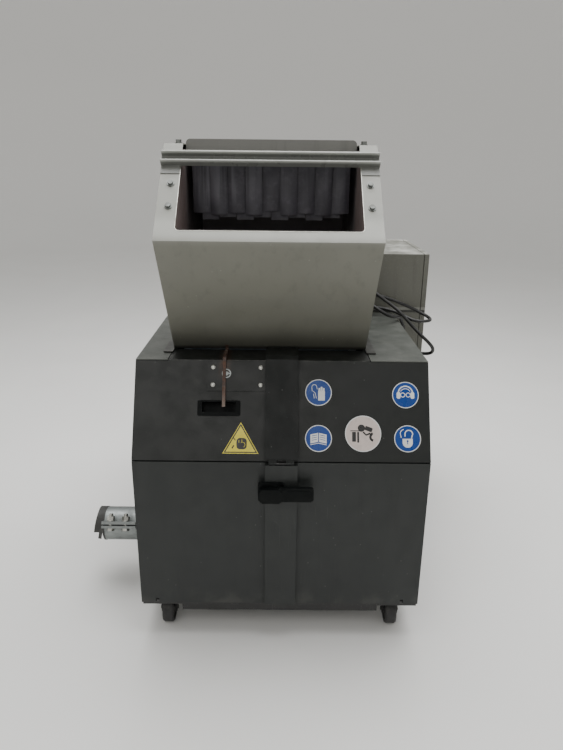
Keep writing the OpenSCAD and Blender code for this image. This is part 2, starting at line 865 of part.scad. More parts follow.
// Escutcheon that carries the latch
module latch_plate() {
    y1 = -strip_proud;
    color([0.06, 0.06, 0.06]) on_base()
        difference() {
            union() {
                translate([0, y1 - 7, 0]) round_plate(-54, 6, latch_z - 22, latch_z + 26, 7, 6);
                rod_y(y1, 8, latch_x, latch_z, 9.4);
            }
            rod_y(y1 - 8, 9, latch_x, latch_z, 6.05);
        }
}

module latch_lever() {
    y0 = latch_face_y;
    color([0.06, 0.06, 0.06]) on_base() {
        translate([0, y0, 0]) round_plate(-51, 3, latch_z - 19, latch_z + 16, 14.5, 8);
        translate([0, y0 + 1.5, 0]) round_plate(-10, 76, latch_z - 15, latch_z + 20, 10, 6);
        rod_y(y0 + 10, 26, latch_x, latch_z, 6);
        block([latch_x - 9, 20, latch_z - 9], [latch_x + 9, 25, latch_z + 30]);
    }
}

// ---- Hopper ----

module hopper_shell() {
    top = hopper_top;
    outline = [
        [hop_front[0], hop_z0], hop_bend, hop_peak, [430, top], [hop_back, top - 130],
        [hop_back, hop_z0]
    ];
    hollow = [
        [hop_front[0] + 4.4, hop_z0 - 3], [hop_bend[0] + 3.2, hop_bend[1] + 0.2],
        [hop_peak[0] + 1, top - sheet], [429, top - sheet],
        [hop_back - sheet, top - 131], [hop_back - sheet, hop_z0 - 3]
    ];
    color([0.43, 0.43, 0.4]) on_base() {
        difference() {
            slab(hop_x0, hop_x1, outline);
            slab(hop_x0 + sheet, hop_x1 - sheet, hollow);
            on_mouth() translate([0, -5, 0])
                round_plate(mouth_x0, mouth_x1, 27, rail_s[0] + 4, 20, 10);
            block([mouth_x0, 150, top - 14], [mouth_x1, 232, top + 5]);
        }
        for (x = [hop_x0 - 21, hop_x1 - 2])
            block([x, 165, hop_z0], [x + 23, 470, hop_z0 + 2.5]);
        for (x = hinge_xs)
            difference() {
                union() {
                    block([x - 12, hop_back - 0.5, 722], [x - 1, 590, 752]);
                    rod_x(x - 12, x - 1, hopper_axis, 14);
                }
                rod_x(x - 15, x + 2, hopper_axis, 6.05);
            }
    }
}

module hopper_liner() {
    outline = [
        [237, hop_z0 + 1], [24, 1026], [186, 1188], [426, 1192], [522, 1096], [522, hop_z0 + 1]
    ];
    hollow = [
        [242, 700], [27.5, 1026], [-30, 1030], [140, 1230], [234, 1230], [234, 1189.5],
        [425, 1189.5], [519.5, 1095], [519.5, 700]
    ];
    color([0.3, 0.26, 0.24]) on_base()
        difference() {
            slab(mouth_x0 - sheet, mouth_x1 + sheet, outline);
            slab(mouth_x0, mouth_x1, hollow);
        }
}

// Stiffening channel across the mouth face, with two proud lips
module mouth_rail() {
    x0 = hop_x0 - 1;
    x1 = hop_x1 + 1;
    lip = 4;
    color([0.5, 0.52, 0.48]) on_base() {
        on_mouth() {
            block([x0, -3, rail_s[0]], [x1, 0, rail_s[1]]);
            for (s = [rail_s[0], rail_s[1] - lip])
                block([x0, -17, s], [x1, -2.5, s + lip]);
        }
        for (x = [[hop_x0, mouth_x0 - 1], [mouth_x1 + 1, hop_x1]])
            on_mouth() block([x[0], -2, 184], [x[1], 0, rail_s[0]]);
    }
}

// Upright plate between the ears, which holds the curtain
module baffle_plate() {
    y0 = curtain_axis[0] - 4;
    color([0.38, 0.38, 0.35]) on_base() {
        translate([0, y0, 0])
            round_plate(mouth_x0 + 2, mouth_x1 - 2, 1176, hopper_top + 11, 3, 10);
        for (x = [mouth_x0 + 1, mouth_x1 - 11])
            block([x, y0, curtain_axis[1] - 2.5], [x + 10, y0 + 3, 1186]);
        rod_x(mouth_x0 + 0.5, mouth_x1 - 0.5, curtain_axis, 2.5);
    }
}

// Two overlapping layers of rubber strips on one bar
module curtain_strips() {
    count = 9;
    x0 = mouth_x0 + 14;
    pitch = (mouth_w - 28) / count;
    y = curtain_axis[0];
    top = curtain_axis[1] - 3;
    color([0.1, 0.1, 0.12]) on_base()
        difference() {
            union() {
                rod_x(x0, mouth_x1 - 14, curtain_axis, 6);
                for (k = [0:count - 1])
                    block([x0 + k * pitch, y - 4.2, 1046 - 4 * (k % 2)],
                          [x0 - 1 + (k + 1) * pitch, y - 0.2, top]);
                for (k = [0:count - 2])
                    block([x0 + (k + 0.5) * pitch, y + 0.2, 1030 + 6 * (k % 2)],
                          [x0 - 1 + (k + 1.5) * pitch, y + 4.2, top]);
            }
            rod_x(mouth_x0, mouth_x1, curtain_axis, 2.55);
        }
}

module hopper_bolts() {
    color([0.3, 0.31, 0.29]) on_base() {
        for (x = [-247, 188.5], s = [92, 155.5])
            on_mouth(x, s) {
                rod_y(-1.6, 0, 0, 0, 8.5);
                rod_y(-6.5, -1.6, 0, 0, 6, 6);
            }
        for (x = [-241, 182]) {
            translate([x, 206, hopper_top]) cylinder(h = 1.6, r = 9, $fn = 32);
            translate([x, 206, hopper_top + 1.6]) cylinder(h = 7, r = 6.5, $fn = 6);
        }
    }
}

// ---- Casters ----

module front_caster_plate(x) {
    y = caster_ys[0];
    block([x - 40, y - 33, plate_z0 - 4], [x + 40, y + 33, plate_z0]);
    translate([x, y, 77]) cylinder(h = plate_z0 - 4 - 77, r = 6, $fn = 32);
    translate([x, y, 74]) cylinder(h = 3, r = 10, $fn = 32);
}

module fork_cheeks(x, y, axle_y) {
    outline = [
        [y - 20, 87], [y + 20, 87], [y + 14, 62], [axle_y + 9, wheel_r - 8],
        [axle_y - 9, wheel_r - 8], [axle_y - 12, wheel_r + 8]
    ];
    for (side = [-1, 1])
        slab(x + side * (wheel_w / 2 + 4) - 1.5, x + side * (wheel_w / 2 + 4) + 1.5, outline);
    rod_x(x - wheel_w / 2 - 8, x + wheel_w / 2 + 8, [axle_y, wheel_r], 5);
}

module rear_caster_fork(x) {
    y = caster_ys[1];
    block([x - 40, y - 33, plate_z0 - 4], [x + 40, y + 33, plate_z0]);
    block([x - wheel_w / 2 - 5.5, y - 20, 80], [x + wheel_w / 2 + 5.5, y + 20, plate_z0 - 3]);
    fork_cheeks(x, y, y);
}

module caster_plates() {
    color([0.3, 0.3, 0.3]) on_base()
        for (x = [-caster_x, caster_x]) {
            front_caster_plate(x);
            rear_caster_fork(x);
        }
}

module caster_fork(x) {
    y = caster_ys[0];
    color([0.15, 0.15, 0.15]) on_base()
        difference() {
            union() {
                translate([x, y, 79]) cylinder(h = 8.5, r = 25, $fn = 48);
                fork_cheeks(x, y, y - trail);
            }
            translate([x, y, 70]) cylinder(h = 30, r = 6.05, $fn = 32);
        }
}

module caster_fork_left() { caster_fork(-caster_x); }
module caster_fork_right() { caster_fork(caster_x); }

module caster_wheel(x, y) {
    r = wheel_r;
    w = wheel_w / 2;
    color([0.08, 0.08, 0.08]) on_base()
        translate([x, y, r])
            rotate([0, 90, 0])
                rotate_extrude($fn = 64)
                    polygon([
                        [5.05, -w], [12, -w], [14, -w + 4], [r - 10, -w + 4], [r - 8, -w + 1],
                        [r - 2.5, -w + 1], [r, -w + 5], [r, w - 5], [r - 2.5, w - 1],
                        [r - 8, w - 1], [r - 10, w - 4], [14, w - 4], [12, w], [5.05, w]
                    ]);
}

module wheel_front_left() { caster_wheel(-caster_x, caster_ys[0] - trail); }
module wheel_front_right() { caster_wheel(caster_x, caster_ys[0] - trail); }
module wheel_rear_left() { caster_wheel(-caster_x, caster_ys[1]); }
module wheel_rear_right() { caster_wheel(caster_x, caster_ys[1]); }

base_plate();
case_panels();
deck_plate();
seam_rail();
hinge_pins();
chamber_cheeks();
chamber_beams();
bed_knives();
bearings();
rotor();
rotor_knives();
rotor_pulley();
flywheel();
screen_cradle();
screen();
collecting_pan();
outlet_pipe();
coupling_halves();
coupling_bolts();
outlet_cap();
motor_body();
motor_shaft();
motor_pulley();
drive_belts();
drive_housing();
cabinet_box();
cabinet_gear();
cabinet_door();
isolator_knob();
start_button();
stop_button();
cable_gland();
mains_cable();
cable_coil();
mains_plug();
upper_cover();
cover_strip();
lock_plate();
lock_ring();
lock_strip();
recess_grip();
cover_screws();
stickers();
lower_door();
door_strip();
latch_plate();
latch_lever();
hopper_shell();
hopper_liner();
mouth_rail();
baffle_plate();
curtain_strips();
hopper_bolts();
caster_plates();
caster_fork_left();
caster_fork_right();
wheel_front_left();
wheel_front_right();
wheel_rear_left();
wheel_rear_right();
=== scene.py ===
"""A beside-the-press plastics granulator: materials, signs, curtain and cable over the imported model."""

import json
import math

import bmesh
import bpy
from mathutils import Matrix, Vector


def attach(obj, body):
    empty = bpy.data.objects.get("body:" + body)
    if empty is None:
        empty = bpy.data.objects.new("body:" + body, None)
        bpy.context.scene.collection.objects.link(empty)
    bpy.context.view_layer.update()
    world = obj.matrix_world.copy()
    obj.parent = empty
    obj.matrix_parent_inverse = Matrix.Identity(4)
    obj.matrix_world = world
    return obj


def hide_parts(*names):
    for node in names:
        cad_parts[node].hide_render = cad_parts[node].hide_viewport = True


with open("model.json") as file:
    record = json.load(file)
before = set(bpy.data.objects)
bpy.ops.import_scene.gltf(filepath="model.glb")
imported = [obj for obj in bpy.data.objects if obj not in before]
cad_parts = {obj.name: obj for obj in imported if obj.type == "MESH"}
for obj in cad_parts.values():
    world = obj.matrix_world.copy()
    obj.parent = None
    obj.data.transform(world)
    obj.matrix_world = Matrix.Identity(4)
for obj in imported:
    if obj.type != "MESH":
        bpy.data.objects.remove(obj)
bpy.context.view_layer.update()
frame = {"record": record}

# The machine's own frame in millimetres, as part.scad draws it: X right, Y back from the door, Z up
DECK_Z = 713
SEAM_Z = 499
LEAN = math.radians(27.5)
MOUTH_BEND = (0, -4, 1006)
MOUTH_LEAN = math.atan2(192 + 4, 1200 - 1006)
MOUTH_X = (-229, 170)
MOUTH_UP = (37, 206)
CHANNEL_X = (-273, 212)
CHANNEL_UP = (208, 238)
HOPPER_X = -30.5
LOCK_RING_X = -137
LATCH_X = -26
LATCH_Z = 427
SHIFT = Vector((38, -505, 0))


def at(x, y, z):
    """A point of the machine's frame, in metres in the part's frame."""
    return (Vector((x, y, z)) + SHIFT) / 1000


# ---- Camera ----


def make_camera():
    """The photograph's viewpoint: 1.17 m up, looking down by 19 degrees."""
    data = bpy.data.cameras.new("camera")
    camera = bpy.data.objects.new("camera", data)
    bpy.context.scene.collection.objects.link(camera)
    data.sensor_fit = "HORIZONTAL"
    data.sensor_width = 36
    data.lens = 40.1
    data.clip_start = 0.05
    camera.location = (0.0307, -1.8244, 1.1667)
    camera.rotation_euler = [math.radians(a) for a in (71.07, -0.578, -0.047)]
    bpy.context.scene.camera = camera


# ---- Meshes ----


def add_object(name, data, body, slot, *materials):
    """A visible piece that rides on a body, with the given materials; slot is not used."""
    piece = bpy.data.objects.new(name, data)
    bpy.context.scene.collection.objects.link(piece)
    for material in materials:
        data.materials.append(material)
    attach(piece, body)
    return piece


def finish_mesh(build, smooth_angle=None):
    """The mesh of a bmesh, shaded smooth below an angle in degrees."""
    mesh = bpy.data.meshes.new("mesh")
    bmesh.ops.recalc_face_normals(build, faces=build.faces)
    if smooth_angle:
        for face in build.faces:
            face.smooth = True
        for edge in build.edges:
            edge.smooth = edge.calc_face_angle(0) < math.radians(smooth_angle)
    build.to_mesh(mesh)
    build.free()
    return mesh


def add_prism(build, outline, depth, place):
    """An outline in a plane, extruded along the plane's own z, through the matrix place."""
    low = [build.verts.new(place @ Vector((x, y, 0))) for x, y in outline]
    high = [build.verts.new(place @ Vector((x, y, depth))) for x, y in outline]
    build.faces.new(low[::-1])
    build.faces.new(high)
    for i in range(len(outline)):
        j = (i + 1) % len(outline)
        build.faces.new((low[i], low[j], high[j], high[i]))


def join_rings(build, rings):
    """Faces between closed rings of vertices, from each ring to the next."""
    for a, b in zip(rings, rings[1:]):
        for k in range(len(a)):
            j = (k + 1) % len(a)
            build.faces.new((a[k], a[j], b[j], b[k]))


def add_tube(build, points, radius, sides=12):
    """A round tube along points; radius may be one number or one for each point."""
    radii = radius if isinstance(radius, list) else [radius] * len(points)
    normal = Vector((1, 0, 0))
    rings = []
    for i, point in enumerate(points):
        along = (points[min(i + 1, len(points) - 1)] - points[max(i - 1, 0)]).normalized()
        normal = (normal - normal.dot(along) * along).normalized()
        side = along.cross(normal)
        turn = [2 * math.pi * k / sides for k in range(sides)]
        rings.append([
            build.verts.new(point + radii[i] * (math.cos(a) * normal + math.sin(a) * side)) for a in turn
        ])
    join_rings(build, rings)
    build.faces.new(rings[0][::-1])
    build.faces.new(rings[-1])


# ---- Node materials ----


class Graph:
    """A material's nodes, with short calls for the ones that the materials below share."""

    def __init__(self, name):
        self.material = bpy.data.materials.new(name)
        self.material.use_nodes = True
        self.tree = self.material.node_tree
        self.shader = self.tree.nodes["Principled BSDF"]
        self.place = self.node("ShaderNodeTexCoord").outputs["Object"]
        self.heights = []

    def node(self, kind, **inputs):
        made = self.tree.nodes.new(kind)
        for key, value in inputs.items():
            self.plug(value, made.inputs[key.replace("_", " ")])
        return made

    def plug(self, value, socket):
        if isinstance(value, bpy.types.NodeSocket):
            self.tree.links.new(value, socket)
        elif isinstance(value, tuple) and len(value) == 3 and socket.type == "RGBA":
            socket.default_value = (*value, 1)
        else:
            socket.default_value = value

    def stretched(self, stretch, turn=(0, 0, 0)):
        mapping = self.node("ShaderNodeMapping", Vector=self.place)
        mapping.inputs["Scale"].default_value = stretch
        mapping.inputs["Rotation"].default_value = [math.radians(a) for a in turn]
        return mapping.outputs["Vector"]

    def noise(self, scale, detail=3, roughness=0.55, stretch=None, turn=(0, 0, 0)):
        where = self.stretched(stretch, turn) if stretch else self.place
        made = self.node("ShaderNodeTexNoise", Vector=where, Scale=scale, Detail=detail, Roughness=roughness)
        return made.outputs["Fac"]

    def cells(self, scale, stretch=None):
        where = self.stretched(stretch) if stretch else self.place
        made = self.node("ShaderNodeTexVoronoi", Vector=where, Scale=scale)
        return made.outputs["Distance"], made.outputs["Color"]

    def remap(self, value, low, high, a=0.0, b=1.0):
        made = self.node("ShaderNodeMapRange")
        made.interpolation_type = "SMOOTHSTEP"
        sockets = ("Value", "From Min", "From Max", "To Min", "To Max")
        for key, number in zip(sockets, (value, low, high, a, b)):
            self.plug(number, made.inputs[key])
        return made.outputs["Result"]

    def math(self, operation, a, b=0.0):
        made = self.tree.nodes.new("ShaderNodeMath")
        made.operation = operation
        self.plug(a, made.inputs[0])
        self.plug(b, made.inputs[1])
        return made.outputs[0]

    def both(self, a, b):
        return self.math("MULTIPLY", a, b)

    def mix(self, factor, a, b):
        made = self.tree.nodes.new("ShaderNodeMix")
        made.data_type = "RGBA"
        self.plug(factor, made.inputs[0])
        self.plug(a, made.inputs[6])
        self.plug(b, made.inputs[7])
        return made.outputs[2]

    def axis(self, letter):
        return self.node("ShaderNodeSeparateXYZ", Vector=self.place).outputs[letter]

    def band(self, letter, centre, half, soft):
        """1 within half of a place along an axis, in metres, fading over soft."""
        away = self.math("ABSOLUTE", self.math("SUBTRACT", self.axis(letter), centre))
        return self.remap(away, half, half + soft, 1.0, 0.0)

    def facing(self, letter, low=0.6, high=0.9):
        """How far the surface faces along an axis: 0 at low, 1 at high."""
        normal = self.node("ShaderNodeTexCoord").outputs["Normal"]
        part = self.node("ShaderNodeSeparateXYZ", Vector=normal).outputs[letter]
        return self.remap(part, low, high)

    def relief(self, height, distance):
        """Adds a height in metres to the surface's bump."""
        self.heights.append(self.both(height, distance))

    def done(self, colour, roughness, metallic=0.0, **sockets):
        self.plug(colour, self.shader.inputs["Base Color"])
        self.plug(roughness, self.shader.inputs["Roughness"])
        self.plug(metallic, self.shader.inputs["Metallic"])
        for key, value in sockets.items():
            self.shader.inputs[key.replace("_", " ")].default_value = value
        if self.heights:
            total = self.heights[0]
            for height in self.heights[1:]:
                total = self.math("ADD", total, height)
            bump = self.node("ShaderNodeBump", Height=total, Strength=1.0, Distance=1.0)
            self.plug(bump.outputs["Normal"], self.shader.inputs["Normal"])
        return self.material


def tone(colour, factor):
    """A colour made lighter or darker."""
    return tuple(min(1.0, c * factor) for c in colour)


def scratches(g, turn, density=0.7, fine=1.0):
    """Long fine lines in one direction, broken up by a coarse noise."""
    lines = g.noise(9 * fine, 2, 0.5, (40, 40, 0.8), turn)
    patches = g.noise(5, 2, 0.5)
    return g.both(g.remap(lines, density, density + 0.03), g.remap(patches, 0.5, 0.6))


def coat(
    name, colour, roughness=0.42, dust=0.25, wear=0.35, extra=None,
    dust_colour=(0.42, 0.41, 0.38), lines=0.5, shine=0.5,
):
    """Powder coat: orange peel, cloudy tone, vertical grime, scratches, chips and dust on top.

    extra adds the tones of one piece, lines is the share of scratches, and shine the specular level.
    """
    g = Graph(name)
    cloud = g.noise(4.5, 4)
    colour_now = g.mix(cloud, tone(colour, 0.86), tone(colour, 1.14))
    grime_and_shade = g.noise(6, 4, 0.6, (7, 7, 0.7))
    colour_now = g.mix(g.remap(grime_and_shade, 0.5, 0.8, 0.0, 0.45), colour_now, tone(colour, 0.62))
    if extra:
        colour_now = extra(g, colour_now)
    drawn = g.math("MAXIMUM", scratches(g, (0, 12, 0)), scratches(g, (70, 0, 35), 0.71, 1.3))
    distance, pick = g.cells(46)
    chip = g.both(g.remap(distance, 0.05, 0.09, 1.0, 0.0), g.remap(pick, 0.66, 0.7))
    marks = g.math("MAXIMUM", g.both(drawn, lines), chip)
    colour_now = g.mix(g.both(marks, wear), colour_now, (0.45, 0.45, 0.42))
    powder = g.both(g.facing("Z", 0.3, 0.95), g.remap(g.noise(14, 5, 0.65), 0.35, 0.75))
    speck = g.remap(g.noise(420, 2), 0.62, 0.72, 0.0, 0.35)
    powder = g.math("MAXIMUM", g.both(powder, dust), g.both(speck, dust))
    colour_now = g.mix(powder, colour_now, dust_colour)
    g.relief(g.noise(620, 2), 0.00005)
    g.relief(marks, -0.00008)
    rough = g.remap(g.noise(22, 4), 0.3, 0.7, roughness - 0.07, roughness + 0.09)
    rough = g.math("ADD", rough, g.both(powder, 0.5))
    return g.done(colour_now, rough, Specular_IOR_Level=shine)


def bare_metal(name, colour, roughness=0.34, stretch=(1, 1, 1), stain=(0.1, 0.08, 0.06), stained=0.3):
    """Machined, ground or galvanised steel, with faint tool lines and stains."""
    g = Graph(name)
    lines = g.noise(60, 3, 0.6, stretch)
    blotch = g.noise(35, 5, 0.65)
    colour_now = g.mix(lines, tone(colour, 0.8), tone(colour, 1.12))
    colour_now = g.mix(g.remap(blotch, 0.52, 0.8, 0.0, stained), colour_now, stain)
    g.relief(lines, 0.00006)
    rough = g.remap(blotch, 0.3, 0.7, roughness - 0.06, roughness + 0.16)
    return g.done(colour_now, rough, g.remap(blotch, 0.5, 0.85, 1.0, 0.75))


def rubber(name, colour, roughness=0.6, dust=0.2, dusty=(0.2, 0.19, 0.18), extra=None):
    """Black rubber, cloudy, with powder on it."""
    g = Graph(name)
    colour_now = g.mix(g.noise(18, 4), tone(colour, 0.7), tone(colour, 1.5))
    if extra:
        colour_now = extra(g, colour_now)
    powder = g.remap(g.noise(55, 5, 0.7), 0.45, 0.8, 0.0, dust)
    colour_now = g.mix(powder, colour_now, dusty)
    g.relief(g.noise(900, 2), 0.00006)
    return g.done(colour_now, g.remap(g.noise(30, 3), 0.3, 0.7, roughness - 0.08, roughness + 0.1))


def plastic(name, colour, roughness=0.4, grain=0.00004, shine=0.5):
    """Moulded plastic with a fine grain and a little dust."""
    g = Graph(name)
    colour_now = g.mix(g.noise(25, 4), tone(colour, 0.85), tone(colour, 1.2))
    dust = g.remap(g.noise(80, 5, 0.7), 0.6, 0.85, 0.0, 0.08)
    colour_now = g.mix(dust, colour_now, (0.3, 0.3, 0.28))
    g.relief(g.cells(1500)[0], grain)
    rough = g.remap(g.noise(40, 3), 0.3, 0.7, roughness - 0.06, roughness + 0.1)
    return g.done(colour_now, rough, Specular_IOR_Level=shine)


def rust(name):
    """Brown rust with grey patches, paler at the strip's lower end."""
    g = Graph(name)
    blotch = g.noise(90, 6, 0.7)
    colour_now = g.mix(g.remap(blotch, 0.35, 0.65), (0.06, 0.042, 0.035), (0.15, 0.075, 0.05))
    colour_now = g.mix(g.remap(g.noise(30, 4), 0.55, 0.75), colour_now, (0.2, 0.18, 0.16))
    colour_now = g.mix(g.remap(g.axis("Z"), 0.61, 0.66, 0.7, 0.0), colour_now, (0.27, 0.22, 0.19))
    g.relief(blotch, 0.0003)
    return g.done(colour_now, g.remap(blotch, 0.3, 0.7, 0.45, 0.85), 0.4)


def film(name, colour, roughness=0.28):
    """Printed vinyl with fine scuffs and dirt at its surface."""
    g = Graph(name)
    colour_now = g.mix(g.noise(60, 4), tone(colour, 0.88), tone(colour, 1.1))
    scuff = g.remap(g.noise(160, 5, 0.75), 0.62, 0.78, 0.0, 0.35)
    colour_now = g.mix(scuff, colour_now, (0.25, 0.25, 0.24))
    g.relief(g.noise(300, 2), 0.00002)
    return g.done(colour_now, g.remap(g.noise(50, 3), 0.3, 0.7, roughness - 0.05, roughness + 0.15))


# ---- Tones at particular places ----


def wear_and_cover_shade(g, colour):
    """The enclosure: painted shade on the leaning cover above the seam, a rubbed fold at the deck, rust by
    the lock and dust at the floor.
    """
    front = (SHIFT.y + (DECK_Z - SEAM_Z) * math.tan(LEAN)) / 1000
    fold = g.both(g.band("Z", DECK_Z / 1000, 0.0006, 0.002), g.band("Y", front, 0.0012, 0.003))
    rub = g.both(fold, g.remap(g.noise(60, 4, 0.7), 0.46, 0.6))
    colour = g.mix(g.both(rub, 0.6), colour, (0.2, 0.2, 0.185))
    # Painted shade: the leaning cover above the seam is darkened.
    cover_shade = g.remap(g.axis("Z"), (SEAM_Z - 2) / 1000, (SEAM_Z + 2) / 1000, 0.0, 0.7)
    colour = g.mix(cover_shade, colour, (0.008, 0.009, 0.008))
    ring = (SHIFT.x + LOCK_RING_X) / 1000
    rusty = g.both(g.band("X", ring, 0.004, 0.016), g.remap(g.axis("Z"), 0.66, 0.71))
    rusty = g.both(rusty, g.remap(g.noise(45, 5, 0.7), 0.38, 0.58, 0.0, 0.6))
    colour = g.mix(rusty, colour, (0.09, 0.045, 0.025))
    low = g.remap(g.axis("Z"), 0.1, 0.16, 0.35, 0.0)
    smear = g.both(low, g.remap(g.noise(16, 4), 0.4, 0.7))
    return g.mix(smear, colour, (0.09, 0.088, 0.08))


def channel_shade(g, colour):
    """Painted shade inside the mouth's channel, below the lips' outer edges."""
    above = g.math("SUBTRACT", g.axis("Z"), MOUTH_BEND[2] / 1000)
    behind = g.math("SUBTRACT", g.axis("Y"), (MOUTH_BEND[1] + SHIFT.y) / 1000)
    out = g.math("SUBTRACT", g.both(above, math.sin(MOUTH_LEAN)), g.both(behind, math.cos(MOUTH_LEAN)))
    # Painted shade: the channel's web and the lips' undersides are darkened.
    return g.mix(g.remap(out, 0.009, 0.015, 0.8, 0.0), colour, (0.07, 0.073, 0.066))


def hopper_shade(g, colour):
    """Painted shade towards the hopper's lower edge, a painted shadow along its foot at the deck, and a
    painted highlight on the front faces round the mouth and its sill.
    """
    # Painted shade: darker towards the hopper's lower edge.
    grime_and_shade = g.remap(g.math("ADD", g.axis("Z"), g.both(g.noise(6, 4), 0.12)), 0.72, 1.0, 0.6, 0.0)
    colour = g.mix(grime_and_shade, colour, tone((0.16, 0.16, 0.13), 0.42))
    # Painted highlight: the front faces round the mouth and along its sill are made lighter.
    front = g.facing("Y", -0.45, -0.65)
    colour = g.mix(g.both(g.remap(g.axis("Z"), 0.99, 1.03, 0.0, 0.35), front), colour, (0.5, 0.51, 0.48))
    sill = g.both(g.remap(g.axis("Z"), 1.0, 1.02), g.remap(g.axis("Z"), 1.035, 1.06, 0.35, 0.0))
    sill = g.both(sill, front)
    colour = g.mix(sill, colour, (0.55, 0.56, 0.52))
    # Painted shadow: a black band along the hopper's foot where it meets the deck.
    foot_shadow = g.remap(g.axis("Z"), (DECK_Z + 6) / 1000, (DECK_Z + 14) / 1000, 0.85, 0.0)
    return g.mix(foot_shadow, colour, (0.015, 0.015, 0.015))


def deck_marks(g, colour):
    """Dark greasy smudges on the deck's right side, near the cable."""
    right = g.both(g.remap(g.axis("X"), 0.24, 0.3), g.facing("Z"))
    smudge = g.both(right, g.remap(g.noise(17, 4, 0.7, (1, 0.6, 1)), 0.55, 0.66, 0.0, 0.5))
    return g.mix(smudge, colour, (0.06, 0.063, 0.058))


def curtain_dust(g, colour):
    """Pale streaks of regrind dust down the curtain, more of them at its left."""
    streaks = g.noise(30, 3, 0.6, (1.6, 1, 0.05))
    left = g.remap(g.axis("X"), -0.12, 0.02, 1.0, 0.35)
    high = g.remap(g.axis("Z"), 1.05, 1.1)
    pale = g.both(g.both(g.remap(streaks, 0.45, 0.62, 0.0, 0.5), left), high)
    return g.mix(pale, colour, (0.17, 0.165, 0.185))


def lining_rust(g, colour):
    """Rust on the lining's side walls near the mouth."""
    side = g.math("ABSOLUTE", g.math("SUBTRACT", g.axis("X"), (SHIFT.x + HOPPER_X) / 1000))
    edge = g.both(g.remap(side, 0.185, 0.198), g.remap(g.axis("Y"), -0.33, -0.25, 1.0, 0.0))
    return g.mix(g.both(edge, 0.45), colour, (0.19, 0.12, 0.1))


def cabinet_foot(g, colour):
    """A painted highlight strip with a painted shadow line under it where the cabinet stands on the deck."""
    front = g.facing("Y", -0.6, -0.9)
    # Painted highlight: a pale strip along the cabinet's front just above the deck.
    strip = g.both(front, g.band("Z", (DECK_Z + 13) / 1000, 0.004, 0.001))
    colour = g.mix(g.both(strip, 0.5), colour, (0.33, 0.33, 0.3))
    # Painted shadow: a dark line along the cabinet's front at the deck.
    line = g.both(front, g.band("Z", (DECK_Z + 4.5) / 1000, 0.003, 0.001))
    return g.mix(g.both(line, 0.8), colour, (0.01, 0.01, 0.01))


# ---- Materials ----

ENCLOSURE = (0.0195, 0.0222, 0.0214)
DECK = (0.068, 0.074, 0.065)
HOPPER = (0.172, 0.172, 0.142)
CABINET = (0.135, 0.135, 0.113)

materials = {
    "enclosure": coat("enclosure_paint", ENCLOSURE, 0.42, 0.04, 0.1, wear_and_cover_shade, lines=0.3, shine=0.38),
    "lip": coat("lip_paint", (0.4, 0.41, 0.38), 0.3, 0.1, 0.6, channel_shade),
    "strip": coat("strip_paint", tone(ENCLOSURE, 0.5), 0.45, 0.05, 0.14, lines=0.3, shine=0.25),
    "baffle": coat("baffle_paint", (0.19, 0.19, 0.175), 0.4, 0.15, 0.3),
    "worn_edge": bare_metal("worn_edge", (0.6, 0.6, 0.55), 0.4, stained=0.6),
    "deck": coat("deck_paint", DECK, 0.4, 0.1, 0.25, deck_marks, shine=0.4),
    "hopper": coat("hopper_paint", HOPPER, 0.38, 0.15, 0.25, hopper_shade),
    "lining": coat("hopper_lining", (0.15, 0.137, 0.14), 0.5, 0.3, 0.5, lining_rust),
    "cabinet": coat("cabinet_paint", CABINET, 0.5, 0.6, 0.2, cabinet_foot, (0.62, 0.62, 0.58)),
    "black": coat("black_paint", (0.018, 0.018, 0.018), 0.45, 0.4, 0.2),
    "machine": coat("machine_paint", (0.08, 0.1, 0.12), 0.4, 0.3, 0.4),
    "motor": coat("motor_paint", (0.03, 0.08, 0.15), 0.4, 0.3, 0.3),
    "zinc": bare_metal("zinc_steel", (0.62, 0.62, 0.58), 0.3),
    "galvanised": bare_metal(
        "galvanised_steel", (0.3, 0.32, 0.315), 0.45, stain=(0.08, 0.08, 0.08), stained=0.5
    ),
    "bolt": bare_metal("bolt_steel", (0.24, 0.25, 0.24), 0.5, stained=0.5),
    "rotor": bare_metal("rotor_steel", (0.35, 0.35, 0.36), 0.38, (1, 6, 6)),
    "knife": bare_metal("knife_steel", (0.6, 0.6, 0.62), 0.25, (1, 12, 12), stained=0.1),
    "iron": bare_metal("pulley_iron", (0.09, 0.09, 0.09), 0.5, (8, 1, 1)),
    "rust": rust("rusty_steel"),
    "rubber": rubber("belt_rubber", (0.014, 0.014, 0.014)),
    "curtain": rubber("curtain_rubber", (0.04, 0.038, 0.046), 0.48, 0.35, (0.14, 0.13, 0.15), curtain_dust),
    "hood": rubber("hood_rubber", (0.035, 0.035, 0.033), 0.55, 0.4, (0.1, 0.1, 0.09)),
    "tyre": rubber("tyre_rubber", (0.02, 0.02, 0.02), 0.55, 0.5, (0.1, 0.1, 0.09)),
    "sheath": rubber("cable_sheath", (0.013, 0.013, 0.013), 0.45, 0.25),
    "black_plastic": plastic("black_plastic", (0.003, 0.004, 0.004), 0.5, shine=0.12),
    "foam": rubber("acoustic_foam", (0.03, 0.03, 0.032), 0.95, 0.15),
    "gear": plastic("gear_plastic", (0.5, 0.5, 0.46)),
    "red": plastic("red_plastic", (0.5, 0.02, 0.015), 0.3),
    "green": plastic("green_plastic", (0.02, 0.25, 0.06), 0.3),
    "blue_film": film("blue_film", (0.0, 0.045, 0.25)),
    "white_film": film("white_film", (0.75, 0.76, 0.76)),
    "pale_film": film("pale_film", (0.62, 0.54, 0.5)),
    "yellow_film": film("yellow_film", (0.72, 0.62, 0.05)),
    "black_film": film("black_film", (0.02, 0.02, 0.02)),
}

